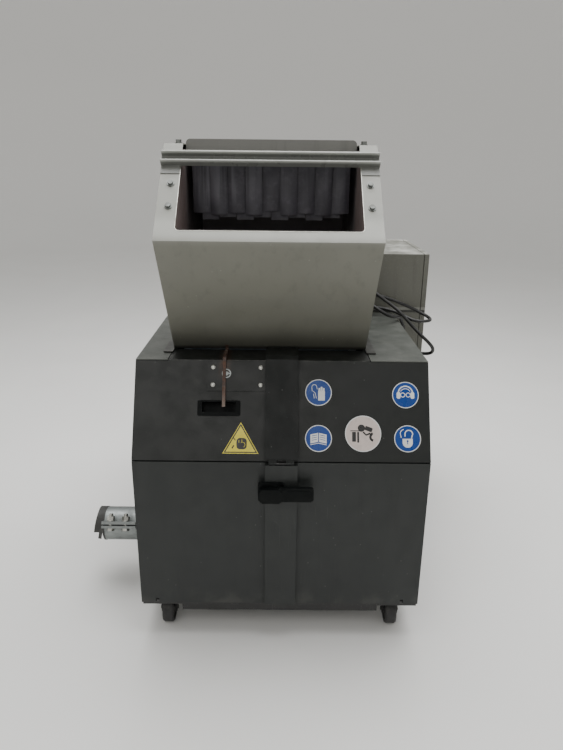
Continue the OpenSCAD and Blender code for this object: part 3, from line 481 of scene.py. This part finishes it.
SLOT_LOOKS = {
    "enclosure_paint": "enclosure", "deck_paint": "deck", "hopper_paint": "hopper",
    "hopper_lining": "lining", "cabinet_paint": "cabinet", "black_paint": "black",
    "zinc_steel": "zinc", "galvanised": "galvanised", "rusty_steel": "rust",
    "machine_paint": "machine", "rotor_steel": "rotor", "knife_steel": "knife",
    "pulley_iron": "iron", "motor_paint": "motor", "belt_rubber": "rubber",
    "curtain_rubber": "curtain", "tyre_rubber": "tyre", "black_plastic": "black_plastic",
    "gear_plastic": "gear", "red_plastic": "red", "green_plastic": "green",
    "cable_sheath": "sheath", "sticker_film": "blue_film",
}

NODE_LOOKS = {
    "hinge_pins": "iron", "baffle_plate": "baffle", "lock_ring": "galvanised", "hopper_bolts": "bolt",
    "cover_strip": "strip", "outlet_cap": "hood",
}


def dress_cad():
    """Gives each CAD node the material of its record slot, or its own from NODE_LOOKS."""
    for part in frame["record"]["subparts"]:
        node = bpy.data.objects.get(part["node"])
        look = materials[SLOT_LOOKS[part["material_slot"]]]
        for slot in node.material_slots:
            slot.material = look
    for name, look in NODE_LOOKS.items():
        for slot in bpy.data.objects[name].material_slots:
            slot.material = materials[look]


# ---- Mains cable ----

CABLE_R = 5
ROUTE = [
    (256, 604, 812), (256, 580, 811), (274, 541, 795), (320, 537, 764),
    (355, 512, 740), (390, 497, 700), (426, 473, 668), (455, 480, 640), (459, 507, 615),
    (441, 534, 604), (409, 548, 607), (382, 544, 633), (380, 548, 661), (361, 541, 725),
    (335, 488, 729), (303, 476, 741), (262, 487, 768), (236, 527, 781), (233, 568, 780),
    (252, 600, 780), (292, 611, 773), (344, 607, 758), (392, 608, 739), (432, 612, 719),
    (457, 586, 709), (458, 551, 707), (435, 523, 710), (393, 520, 711), (358, 561, 729),
    (305, 582, 738), (262, 594, 738), (215, 598, 724), (183, 619, 728), (174, 653, 721),
    (171, 673, 686), (178, 689, 639), (185, 720, 607), (187, 763, 606), (170, 807, 606),
    (136, 844, 606),
]
COIL = (82, 795)
COIL_RADII = (73, 63, 53, 43, 48, 58, 68)
COIL_HEIGHTS = (605.3, 605.3, 605.3, 605.3, 615.3, 615.3, 615.3)
PLUG_Y = 863
PLUG_Z = 626


def smooth(t):
    """Eases from 0 to 1 as t goes from 0 to 1."""
    t = min(max(t, 0.0), 1.0)
    return t * t * (3 - 2 * t)


def route_curve(steps=8):
    """The smooth curve along ROUTE, a uniform cubic B-spline carried on straight at its ends."""
    points = [Vector(p) for p in ROUTE]
    points = [2 * points[0] - points[1], *points, 2 * points[-1] - points[-2]]
    curve = []
    for a, b, c, d in zip(points, points[1:], points[2:], points[3:]):
        for k in range(steps):
            t = k / steps
            curve.append((
                (1 - t) ** 3 * a + (3 * t**3 - 6 * t * t + 4) * b
                + (-3 * t**3 + 3 * t * t + 3 * t + 1) * c + t**3 * d
            ) / 6)
    return curve + [Vector(ROUTE[-1])]


def coil_curve(steps=48):
    """Seven turns: four on the housing from outside in, three on top of them from inside out."""
    start = math.atan2(ROUTE[-1][1] - COIL[1], ROUTE[-1][0] - COIL[0])
    last = len(COIL_RADII) - 1
    extra = math.pi / 2 - start
    count = round(steps * (last + 1 + extra / (2 * math.pi)))
    curve = []
    for k in range(1, count + 1):
        turns = k / steps
        turn = min(int(turns), last)
        part = turns - turn
        shift_from = 0.8 if turn < 4 else 0.3
        move = smooth((part - shift_from) / 0.2) if turn < last else 0.0
        after = min(turn + 1, last)
        radius = COIL_RADII[turn] + (COIL_RADII[after] - COIL_RADII[turn]) * move
        height = COIL_HEIGHTS[turn] + (COIL_HEIGHTS[after] - COIL_HEIGHTS[turn]) * move
        height += 0.7 * (1 - smooth(turns / 0.5))
        angle = start + 2 * math.pi * turns
        rise = smooth((k - (count - 8)) / 22)
        height += (PLUG_Z - COIL_HEIGHTS[last]) * rise
        curve.append(Vector((
            COIL[0] + radius * math.cos(angle), COIL[1] + radius * math.sin(angle), height
        )))
    end = curve[-1]
    reach = 42
    for k in range(1, 13):
        part = k / 12
        rise = smooth((8 + 14 * part) / 22)
        height = COIL_HEIGHTS[last] + (PLUG_Z - COIL_HEIGHTS[last]) * rise
        curve.append(Vector((end.x - reach * part, PLUG_Y + (end.y - PLUG_Y) * (1 - part), height)))
    return curve


def make_cable():
    """The mains cable with its strain relief, plug and tie, from the cabinet to the coil."""
    line = [at(*p) for p in route_curve() + coil_curve()]
    data = bpy.data.curves.new("cable", "CURVE")
    data.dimensions = "3D"
    data.bevel_depth = CABLE_R / 1000
    data.bevel_resolution = 4
    data.use_fill_caps = True
    spline = data.splines.new("POLY")
    spline.points.add(len(line) - 1)
    for point, place in zip(spline.points, line):
        point.co = (*place, 1)
    spline.use_smooth = True
    cable = add_object("cable", data, "enclosure", "cable_sheath", materials["sheath"])
    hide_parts("mains_cable", "cable_coil")
    relief = make_strain_relief(line)
    plug = make_plug()
    tie = make_tie()


def make_strain_relief(line):
    """A ribbed boot that tapers along the cable's first stretch."""
    build = bmesh.new()
    points, radii = [], []
    count = 28
    for k in range(count + 1):
        part = k / count
        spot = part * 4.6
        i = int(spot)
        points.append(line[i].lerp(line[i + 1], spot - i))
        rib = 0.35 * math.sin(part * 9 * 2 * math.pi)
        radii.append((9.4 - 2.9 * part + rib) / 1000)
    add_tube(build, points, radii, 24)
    return add_object(
        "strain_relief", finish_mesh(build, 60), "enclosure", "black_plastic", materials["black_plastic"]
    )


def add_lathe(build, x0, profile, sides=48, centre=(PLUG_Y, PLUG_Z)):
    """A turned shape along X: profile is distances along X and radii, in millimetres."""
    rings = []
    for x, r in profile:
        rings.append([
            build.verts.new(at(x0 + x, centre[0] + r * math.cos(a), centre[1] + r * math.sin(a)))
            for a in (2 * math.pi * k / sides for k in range(sides))
        ])
    join_rings(build, rings)
    build.faces.new(rings[0])
    build.faces.new(rings[-1][::-1])


def make_plug():
    """A generic five-pin industrial plug: nose, body, ribbed gland nut and pins."""
    build = bmesh.new()
    body = [(0, 21), (0, 24), (3, 24), (49, 24), (50, 26), (62, 26), (64, 25.2), (86, 22), (89, 17)]
    nut = [(103, 17), (105, 15)]
    ribs = [(90 + 1.3 * k, 17 + 0.5 * (k % 2)) for k in range(10)]
    neck = [(108, 10), (140, 8.6), (164, 7), (164, 6)]
    hollow = [(42, 3), (42, 20.5), (1, 21)]
    add_lathe(build, -102, hollow + body + ribs + nut + neck)
    for k in range(5):
        turn = math.radians(30 + 72 * k)
        centre = (PLUG_Y + 13 * math.sin(turn), PLUG_Z + 13 * math.cos(turn))
        r = 3.4 if k == 0 else 2.6
        add_lathe(build, -95, [(0, 1.2), (1.5, r), (38, r), (39, r)], 20, centre)
    plug = add_object("plug", finish_mesh(build, 40), "enclosure", "red_plastic", materials["red"])
    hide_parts("mains_plug")
    return plug


def make_tie():
    """A flat strap round the coil's turns, on the side away from the plug."""
    build = bmesh.new()
    outline = [
        (36.5, 599.9), (79.5, 599.9), (80.6, 601), (80.6, 611),
        (74.5, 620.9), (41.5, 620.9), (35.4, 611), (35.4, 601),
    ]
    turn = math.radians(250)
    loops = []
    for grow in (0.0, 1.3):
        for side in (-5, 5):
            ring = []
            for r, z in outline:
                r2 = r + grow * (1 if r > 58 else -1)
                z2 = z + grow * (1 if z > 610 else 0)
                x = r2 * math.cos(turn) - side * math.sin(turn)
                y = r2 * math.sin(turn) + side * math.cos(turn)
                ring.append(build.verts.new(at(COIL[0] + x, COIL[1] + y, max(z2, 600.1))))
            loops.append(ring)
    for a, b in ((0, 1), (1, 3), (3, 2), (2, 0)):
        for k in range(len(outline)):
            j = (k + 1) % len(outline)
            build.faces.new((loops[a][k], loops[a][j], loops[b][j], loops[b][k]))
    return add_object(
        "coil_tie", finish_mesh(build), "enclosure", "black_plastic", materials["black_plastic"]
    )


# ---- Outlines ----


def circle(cx, cy, r, count=40):
    return [(cx + r * math.cos(2 * math.pi * k / count), cy + r * math.sin(2 * math.pi * k / count))
            for k in range(count)]


def arc(cx, cy, r, start, end, count=14):
    """Points along an arc, from start to end in degrees."""
    turns = [math.radians(start + (end - start) * k / count) for k in range(count + 1)]
    return [(cx + r * math.cos(a), cy + r * math.sin(a)) for a in turns]


def rounded(x0, x1, y0, y1, r, count=6):
    """A rectangle with rounded corners."""
    corners = [(x1 - r, y0 + r, -90), (x1 - r, y1 - r, 0), (x0 + r, y1 - r, 90), (x0 + r, y0 + r, 180)]
    return [p for cx, cy, start in corners for p in arc(cx, cy, r, start, start + 90, count)]


def stroke(points, width):
    """The outline of a line of a given width along open points."""
    left, right = [], []
    for i, (x, y) in enumerate(points):
        ax, ay = points[max(i - 1, 0)]
        bx, by = points[min(i + 1, len(points) - 1)]
        length = math.hypot(bx - ax, by - ay)
        nx, ny = -(by - ay) / length * width / 2, (bx - ax) / length * width / 2
        left.append((x + nx, y + ny))
        right.append((x - nx, y - ny))
    return left + right[::-1]


def moved(outline, dx, dy, turn=0.0, scale=1.0):
    """An outline scaled, turned by degrees and then shifted."""
    c, s = math.cos(math.radians(turn)) * scale, math.sin(math.radians(turn)) * scale
    return [(dx + c * x - s * y, dy + s * x + c * y) for x, y in outline]


# ---- Frames on the leaning cover and the mouth's slope ----


def slope_frame(origin, lean, x, up, out):
    """Millimetres to metres: x to the right, y up the slope, z out of it."""
    rise = Vector((0, math.sin(lean), math.cos(lean)))
    outward = Vector((0, -math.cos(lean), math.sin(lean)))
    place = at(*(Vector(origin) + Vector((x, 0, 0)) + rise * up + outward * out))
    turn = Matrix((Vector((1, 0, 0)), rise, outward)).transposed() * 0.001
    return Matrix.Translation(place) @ turn.to_4x4()


def on_cover(x, up, out=0.0):
    """The cover's leaning face, up from the seam."""
    return slope_frame((0, 0, SEAM_Z), LEAN, x, up, out)


def on_mouth(x, up, out=0.0):
    """The slope of the hopper's mouth, up from the bend under its sill."""
    return slope_frame(MOUTH_BEND, MOUTH_LEAN, x, up, out)


# ---- Signs on the cover ----

WHITE, BLUE, PALE, YELLOW, BLACK = range(5)


def glove():
    """A gauntlet with its cuff and fingers, and the outline of a second one behind it."""
    front = [rounded(-1, 15, -19, 5, 1.5), rounded(0, 4.4, 3, 11, 1.8), rounded(5, 9.4, 3, 14, 1.8),
             rounded(10, 14.4, 3, 11, 1.8)]
    behind = [stroke([(-5, -14), (-8, -1), (-15, 5), (-16, 11), *arc(-10, 13, 6, 160, 20, 8), (-3, 8)], 1.3),
              stroke([(-10, -14), (-12, -3)], 1.3)]
    return front + behind


def goggles():
    """Ear defenders on their band over a pair of round goggles."""
    cups = [rounded(-21, -12, -9, 7, 3.5), rounded(12, 21, -9, 7, 3.5)]
    bands = [stroke(arc(0, 4, 17, 170, 10, 20), 3), stroke(arc(0, 2, 13, 150, 30, 16), 1.6)]
    lenses = [stroke(arc(cx, 0, 5, 0, 350, 24), 1.8) for cx in (-6.5, 6.5)]
    return cups + bands + lenses + [stroke([(-2, 1.5), (2, 1.5)], 1.6)]


def booklet():
    """An open booklet with lines on its pages."""
    pages = [[(-19, -12), (-19, 9), (-1, 13), (-1, -8)], [(1, -8), (1, 13), (19, 9), (19, -12)]]
    return pages + [stroke([(-19, -15), (0, -11), (19, -15)], 1.6)]


def booklet_lines():
    """Three lines on each page."""
    rows = [6, 1, -4]
    left = [stroke([(-16, y - 0.5), (-4, y + 2)], 1.3) for y in rows]
    right = [stroke([(4, y + 2), (16, y - 0.5)], 1.3) for y in rows]
    return left + right


def padlock():
    """An open padlock with its shackle swung up."""
    body = [(-12, 0), (12, 0), (12, -10), *arc(0, -9, 12, 0, -180, 18)[1:-1], (-12, -10)]
    shackle = stroke([(9, 0), (11, 8), *arc(3, 11, 9, -10, 190, 16), (-6, 5)], 2.6)
    hand = stroke([*arc(-7, 12, 10, 100, 200, 10), (-15, 2)], 1.8)
    return [body, shackle, hand]


def machine_glyph():
    """A generic drum between two stands with an arrow that turns round it."""
    drum = [moved(circle(0, 0, 8.5), -4, 13), moved(rounded(-9, 9, -5, 5, 2), 13, 11, -20)]
    stands = [rounded(-26, -17, -19, 4, 1), rounded(-14, -9.5, -21, 4, 1), stroke([(-30, 6.5), (-6, 6.5)], 2)]
    hook = stroke([(19, 2), *arc(25, -8, 8, 120, 260, 12)], 5.5)
    return drum + stands + [hook, stroke([(0, 4), (7, -3), (17, 1)], 4)]


def knife_glyph():
    """A round drum with a notch, for the hazard triangle."""
    drum = rounded(-10, 11, -10, 13, 7)
    return [drum, stroke([(-12, 8), (-16, 13)], 1.8), stroke([(-15, -2), (-19, -8)], 2.6)]


def knife_detail():
    """Thin lines on the drum, in the triangle's own colour."""
    marks = [arc(2, -1, 5.5, -60, 120, 14), [(-5, 3), (-5, 9)], [(1, 4), (1, 10)]]
    return [stroke(mark, 0.9) for mark in marks]


def make_signs():
    """Thin printed discs and a hazard triangle, each colour a film on the one below."""
    build = bmesh.new()

    def layer(shapes, place, z, colour):
        for outline in shapes:
            before = len(build.faces)
            add_prism(build, outline, 0.22, place @ Matrix.Translation((0, 0, z)))
            build.faces.ensure_lookup_table()
            for face in build.faces[before:]:
                face.material_index = colour

    blue_signs = [
        (87, 164.5, glove()), (293.5, 160.5, goggles()), (87, 56, booklet()), (296.5, 57, padlock()),
    ]
    for x, up, glyph in blue_signs:
        place = on_cover(x, up)
        layer([circle(0, 0, 31.5, 72)], place, 0.0, WHITE)
        layer([circle(0, 0, 29.6, 72)], place, 0.14, BLUE)
        layer(glyph, place, 0.28, WHITE)
    layer(booklet_lines(), on_cover(87, 56), 0.38, BLUE)
    layer([stroke([(0, -6), (0, -13)], 2), circle(0, -5.5, 2.2, 20)], on_cover(296.5, 57), 0.38, BLUE)
    place = on_cover(192, 68)
    layer([circle(0, 0, 42.5, 84)], place, 0.0, WHITE)
    layer([circle(0, 0, 40.6, 84)], place, 0.14, PALE)
    layer(machine_glyph(), place, 0.28, BLACK)
    triangle = [(-42.5, -24.5), (42.5, -24.5), (0, 49)]
    place = on_cover(-96, 43.5)
    for z, scale, colour in ((0.0, 1.0, YELLOW), (0.14, 0.93, BLACK), (0.28, 0.82, YELLOW)):
        layer([moved(triangle, 0, 0, 0, scale)], place, z, colour)
    layer([moved(o, 2, -3, 0, 1.15) for o in knife_glyph()], place, 0.42, BLACK)
    layer([moved(o, 2, -3, 0, 1.15) for o in knife_detail()], place, 0.5, YELLOW)
    looks = ("white_film", "blue_film", "pale_film", "yellow_film", "black_film")
    signs = add_object("signs", finish_mesh(build), "cover", "sticker_film", *(materials[k] for k in looks))
    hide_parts("stickers")


# ---- Hopper ----

CURTAIN_Y = 226
CURTAIN_Z = 1166
CURTAIN_INSET = 14
STRIP_COUNT = 9
STRIP_GAP = 0.8
ROW_OFFSET = 2.6


def add_strip(build, x0, x1, y, z0, z1, cup, thick=3.4):
    """One rubber strip, cupped across its width and a little wavy down its length."""
    across, down = 6, 14
    faces = []
    for side in (-0.5, 0.5):
        grid = []
        for j in range(down + 1):
            v = j / down
            row = []
            for i in range(across + 1):
                u = 2 * i / across - 1
                bow = cup * (u * u - 0.4) * smooth(v * 1.4)
                wave = 0.5 * math.sin(v * 5 + x0 * 0.7) * v
                edge = -0.6 * abs(u) ** 6 * side * 2
                row.append(build.verts.new(at(
                    x0 + (x1 - x0) * i / across, y + bow + wave + thick * side + edge, z1 + (z0 - z1) * v
                )))
            grid.append(row)
        faces.append(grid)
    low, high = faces
    for grid in faces:
        for j in range(down):
            for i in range(across):
                build.faces.new((grid[j][i], grid[j][i + 1], grid[j + 1][i + 1], grid[j + 1][i]))
    for j in range(down):
        for i in (0, across):
            build.faces.new((low[j][i], low[j + 1][i], high[j + 1][i], high[j][i]))
    for i in range(across):
        for j in (0, down):
            build.faces.new((low[j][i], high[j][i], high[j][i + 1], low[j][i + 1]))


def make_curtain():
    """Two overlapping rows of strips on one bar: the front row cups forward, the rear one back."""
    build = bmesh.new()
    x0, x1 = MOUTH_X[0] + CURTAIN_INSET, MOUTH_X[1] - CURTAIN_INSET
    pitch = (x1 - x0) / STRIP_COUNT
    top = CURTAIN_Z - 2
    for k in range(STRIP_COUNT):
        drop = 1046 - 4 * (k % 2) + (5 if k == 4 else 0)
        left, right = x0 + k * pitch + STRIP_GAP, x0 + (k + 1) * pitch - STRIP_GAP
        add_strip(build, left, right, CURTAIN_Y - ROW_OFFSET, drop, top, 5.5)
    for k in range(STRIP_COUNT - 1):
        drop = 1030 + 6 * (k % 2)
        left, right = x0 + (k + 0.5) * pitch + STRIP_GAP, x0 + (k + 1.5) * pitch - STRIP_GAP
        add_strip(build, left, right, CURTAIN_Y + ROW_OFFSET, drop, top, -4.5)
    bar = [at(x0 + (x1 - x0) * k / 8, CURTAIN_Y, CURTAIN_Z) for k in range(9)]
    add_tube(build, bar, 0.0058, 24)
    curtain = add_object("curtain", finish_mesh(build, 35), "curtain", "curtain_rubber", materials["curtain"])
    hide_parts("curtain_strips")


def add_channel(build, x_range, profile):
    """An outline of (out, up) points on the mouth's slope, extruded along X."""
    ends = [[build.verts.new(on_mouth(x, 0) @ Vector((0, up, out))) for out, up in profile] for x in x_range]
    build.faces.new(ends[0])
    build.faces.new(ends[1][::-1])
    for k in range(len(profile)):
        j = (k + 1) % len(profile)
        build.faces.new((ends[0][k], ends[1][k], ends[1][j], ends[0][j]))


def make_mouth_channel():
    """The folded channel across the mouth, with rounded lips and soft inner corners."""
    build = bmesh.new()
    low, high = CHANNEL_UP
    lip, reach, back = 4, 17, 4
    r, inner = 1.4, 1.5
    profile = [(0, low)]
    profile += arc(reach - r, low + r, r, -90, 0, 5)
    profile += arc(reach - r, low + lip - r, r, 0, 90, 5)
    profile += arc(back, low + lip + inner, inner, 270, 180, 4)
    profile += arc(back, high - lip - inner, inner, 180, 90, 4)
    profile += arc(reach - r, high - lip + r, r, -90, 0, 5)
    profile += arc(reach - r, high - r, r, 0, 90, 5)
    profile += [(0, high)]
    add_channel(build, CHANNEL_X, profile)
    for x0, x1 in ((CHANNEL_X[0] + 1, MOUTH_X[0] - 1), (MOUTH_X[1] + 1, CHANNEL_X[1] - 1)):
        add_prism(build, [(x0, 184), (x1, 184), (x1, low), (x0, low)], 2, on_mouth(0, 0))
    channel = add_object("mouth_channel", finish_mesh(build, 50), "hopper", "hopper_paint", materials["lip"])
    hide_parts("mouth_rail")


def make_mouth_edge():
    """The bare rounded edge of the sheet along the mouth's sides and sill."""
    x0, x1 = MOUTH_X
    low, high = MOUTH_UP
    line = [(x0, high), (x0, 120), *arc(x0 + 10, low, 10, 180, 270, 8)]
    line += [*arc(x1 - 10, low, 10, 270, 360, 8), (x1, 120), (x1, high)]
    build = bmesh.new()
    add_tube(build, [on_mouth(x, up, -0.4) @ Vector((0, 0, 0)) for x, up in line], 0.0012, 8)
    add_object("mouth_edge", finish_mesh(build, 60), "hopper", "zinc_steel", materials["worn_edge"])


# ---- Latch ----


def add_rounded_block(build, x0, x1, z0, z1, y0, y1, r, bevel):
    """A rounded plate that faces the front at y0, its front edge bevelled, in millimetres."""
    facing = Matrix(((0.001, 0, 0, 0), (0, 0, -0.001, 0), (0, 0.001, 0, 0), (0, 0, 0, 1)))
    made = bmesh.new()
    place = Matrix.Translation(at(0, y1, 0)) @ facing
    add_prism(made, rounded(x0, x1, z0, z1, r), y1 - y0, place)
    front = (y0 + SHIFT.y) / 1000
    edges = [e for e in made.edges if all(abs(v.co.y - front) < 1e-6 for v in e.verts)]
    bmesh.ops.bevel(made, geom=edges, offset=bevel / 1000, segments=3, profile=0.6, affect="EDGES")
    mesh = bpy.data.meshes.new("block")
    made.to_mesh(mesh)
    made.free()
    build.from_mesh(mesh)
    bpy.data.meshes.remove(mesh)


def make_latch():
    """The swing handle: a lock block on its pivot and a long grip, with the tongue behind the door."""
    build = bmesh.new()
    x, z = LATCH_X, LATCH_Z
    add_rounded_block(build, -51, 3, z - 19, z + 16, -34, -19.5, 7, 3.5)
    add_rounded_block(build, -10, 76, z - 15, z + 20, -32.5, -22.5, 6, 3)
    add_rounded_block(build, 3, 8, z - 13, z + 18, -33.8, -30, 2, 1.5)
    add_rounded_block(build, 14, 70, z - 9, z + 14, -33.2, -32, 5, 0.8)
    pivot = [at(x, y, z) for y in (-22, -10, 10, 26)]
    add_tube(build, pivot, 0.006, 24)
    add_rounded_block(build, x - 9, x + 9, z - 9, z + 30, 20, 25, 3, 0.8)
    handle = add_object(
        "latch_handle", finish_mesh(build, 40), "latch", "black_plastic", materials["black_plastic"]
    )
    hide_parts("latch_lever")
    core = bmesh.new()
    add_tube(core, [at(x, y, z) for y in (-33.9, -33.0)], 0.0068, 28)
    add_object("latch_core", finish_mesh(core, 40), "latch", "zinc_steel", materials["black_plastic"])


# ---- Sound lining ----


def add_foam(build, place, x_range, up_range, base, skip=lambda x, up: False, cell=10):
    """Egg-crate foam on a panel: place maps x, up and a depth into the machine, in millimetres."""
    columns = round((x_range[1] - x_range[0]) / cell)
    rows = round((up_range[1] - up_range[0]) / cell)
    verts = {}

    def corner(i, j, top):
        if (i, j, top) not in verts:
            x, up = x_range[0] + i * cell, up_range[0] + j * cell
            rim = i in (0, columns) or j in (0, rows)
            crest = 0 if rim else 3.2 * math.cos(math.pi * i / 2) * math.cos(math.pi * j / 2)
            verts[i, j, top] = build.verts.new(place(x, up, base + (8 + crest if top else 0)))
        return verts[i, j, top]

    def filled(i, j):
        inside = 0 <= i < columns and 0 <= j < rows
        return inside and not skip(x_range[0] + (i + 0.5) * cell, up_range[0] + (j + 0.5) * cell)

    def wall(a, b):
        build.faces.new((corner(*a, False), corner(*b, False), corner(*b, True), corner(*a, True)))

    for i in range(columns):
        for j in range(rows):
            if not filled(i, j):
                continue
            square = [(i, j), (i + 1, j), (i + 1, j + 1), (i, j + 1)]
            build.faces.new([corner(a, b, True) for a, b in square])
            build.faces.new([corner(a, b, False) for a, b in square[::-1]])
            for k, (di, dj) in enumerate(((0, -1), (1, 0), (0, 1), (-1, 0))):
                if not filled(i + di, j + dj):
                    wall(square[k], square[(k + 1) % 4])


def make_foam():
    """Foam inside the door and the cover, with gaps for the latch's tongue and the grip's pocket."""
    def near_latch(x, z):
        return abs(x - LATCH_X) < 18 and LATCH_Z - 27 < z < LATCH_Z + 43

    def near_grip(x, up):
        return -206 < x < -92 and 98 < up < 156

    door = bmesh.new()
    add_foam(door, lambda x, z, y: at(x, y, z), (-310, 310), (135, 465), 3, near_latch)
    add_object("door_foam", finish_mesh(door, 70), "door", "curtain_rubber", materials["foam"])
    cover = bmesh.new()
    add_foam(
        cover, lambda x, up, y: on_cover(x, up, -y) @ Vector((0, 0, 0)), (-310, 310), (36, 196), 3, near_grip
    )
    add_object("cover_foam", finish_mesh(cover, 70), "cover", "curtain_rubber", materials["foam"])


# ---- Stage, in metres ----

STAGE_R = 9
STAGE_BEND = 2
STAGE_TOP = 4.5
STAGE_SIDES = 96


def make_stage():
    """A round pale floor whose rim curves up into a wall on all sides."""
    floor = Graph("stage_floor")
    cloud = floor.noise(1.2, 5, 0.6)
    tint = floor.mix(cloud, (0.9, 0.895, 0.87), (0.97, 0.965, 0.945))
    tint = floor.mix(floor.remap(floor.axis("Z"), 0.02, 1.0), tint, (0.97, 0.96, 0.94))
    floor.done(tint, floor.remap(floor.noise(3, 3), 0.3, 0.7, 0.35, 0.5))
    build = bmesh.new()
    flat = STAGE_R - STAGE_BEND
    profile = [(2, 0), (5, 0), (flat, 0)]
    profile += [(x + flat, y) for x, y in arc(0, STAGE_BEND, STAGE_BEND, -81, 0, 9)]
    profile += [(STAGE_R, STAGE_TOP)]
    rings = [
        [build.verts.new((x, y, z)) for x, y in circle(0, 0, r, STAGE_SIDES)]
        for r, z in profile
    ]
    build.faces.new(rings[0])
    join_rings(build, rings)
    mesh = finish_mesh(build, 180)
    stage = bpy.data.objects.new("stage", mesh)
    mesh.materials.append(floor.material)
    bpy.context.scene.collection.objects.link(stage)


def add_light(name, place, target, size, power, colour=(1, 1, 1)):
    """A soft rectangular lamp that looks at a target."""
    data = bpy.data.lights.new(name, "AREA")
    data.shape = "RECTANGLE"
    data.size, data.size_y = size
    data.energy = power
    data.color = colour
    light = bpy.data.objects.new(name, data)
    light.location = place
    light.rotation_euler = (Vector(target) - Vector(place)).to_track_quat("-Z", "Y").to_euler()
    bpy.context.scene.collection.objects.link(light)


def make_lights():
    """A pale sky, a large soft lamp overhead and a weak one in front."""
    world = bpy.data.worlds.new("world")
    bpy.context.scene.world = world
    world.use_nodes = True
    background = world.node_tree.nodes["Background"]
    background.inputs["Color"].default_value = (0.88, 0.88, 0.865, 1)
    background.inputs["Strength"].default_value = 0.54
    add_light("overhead", (0.2, 0.3, 3.2), (0, 0, 0.5), (3.0, 2.6), 125)
    add_light("front", (-0.6, -2.6, 2.4), (0, 0, 0.6), (2.2, 1.6), 16, (1.0, 0.98, 0.95))


make_camera()
make_cable()
dress_cad()
make_signs()
make_curtain()
make_mouth_channel()
make_mouth_edge()
make_latch()
make_foam()
make_stage()
make_lights()
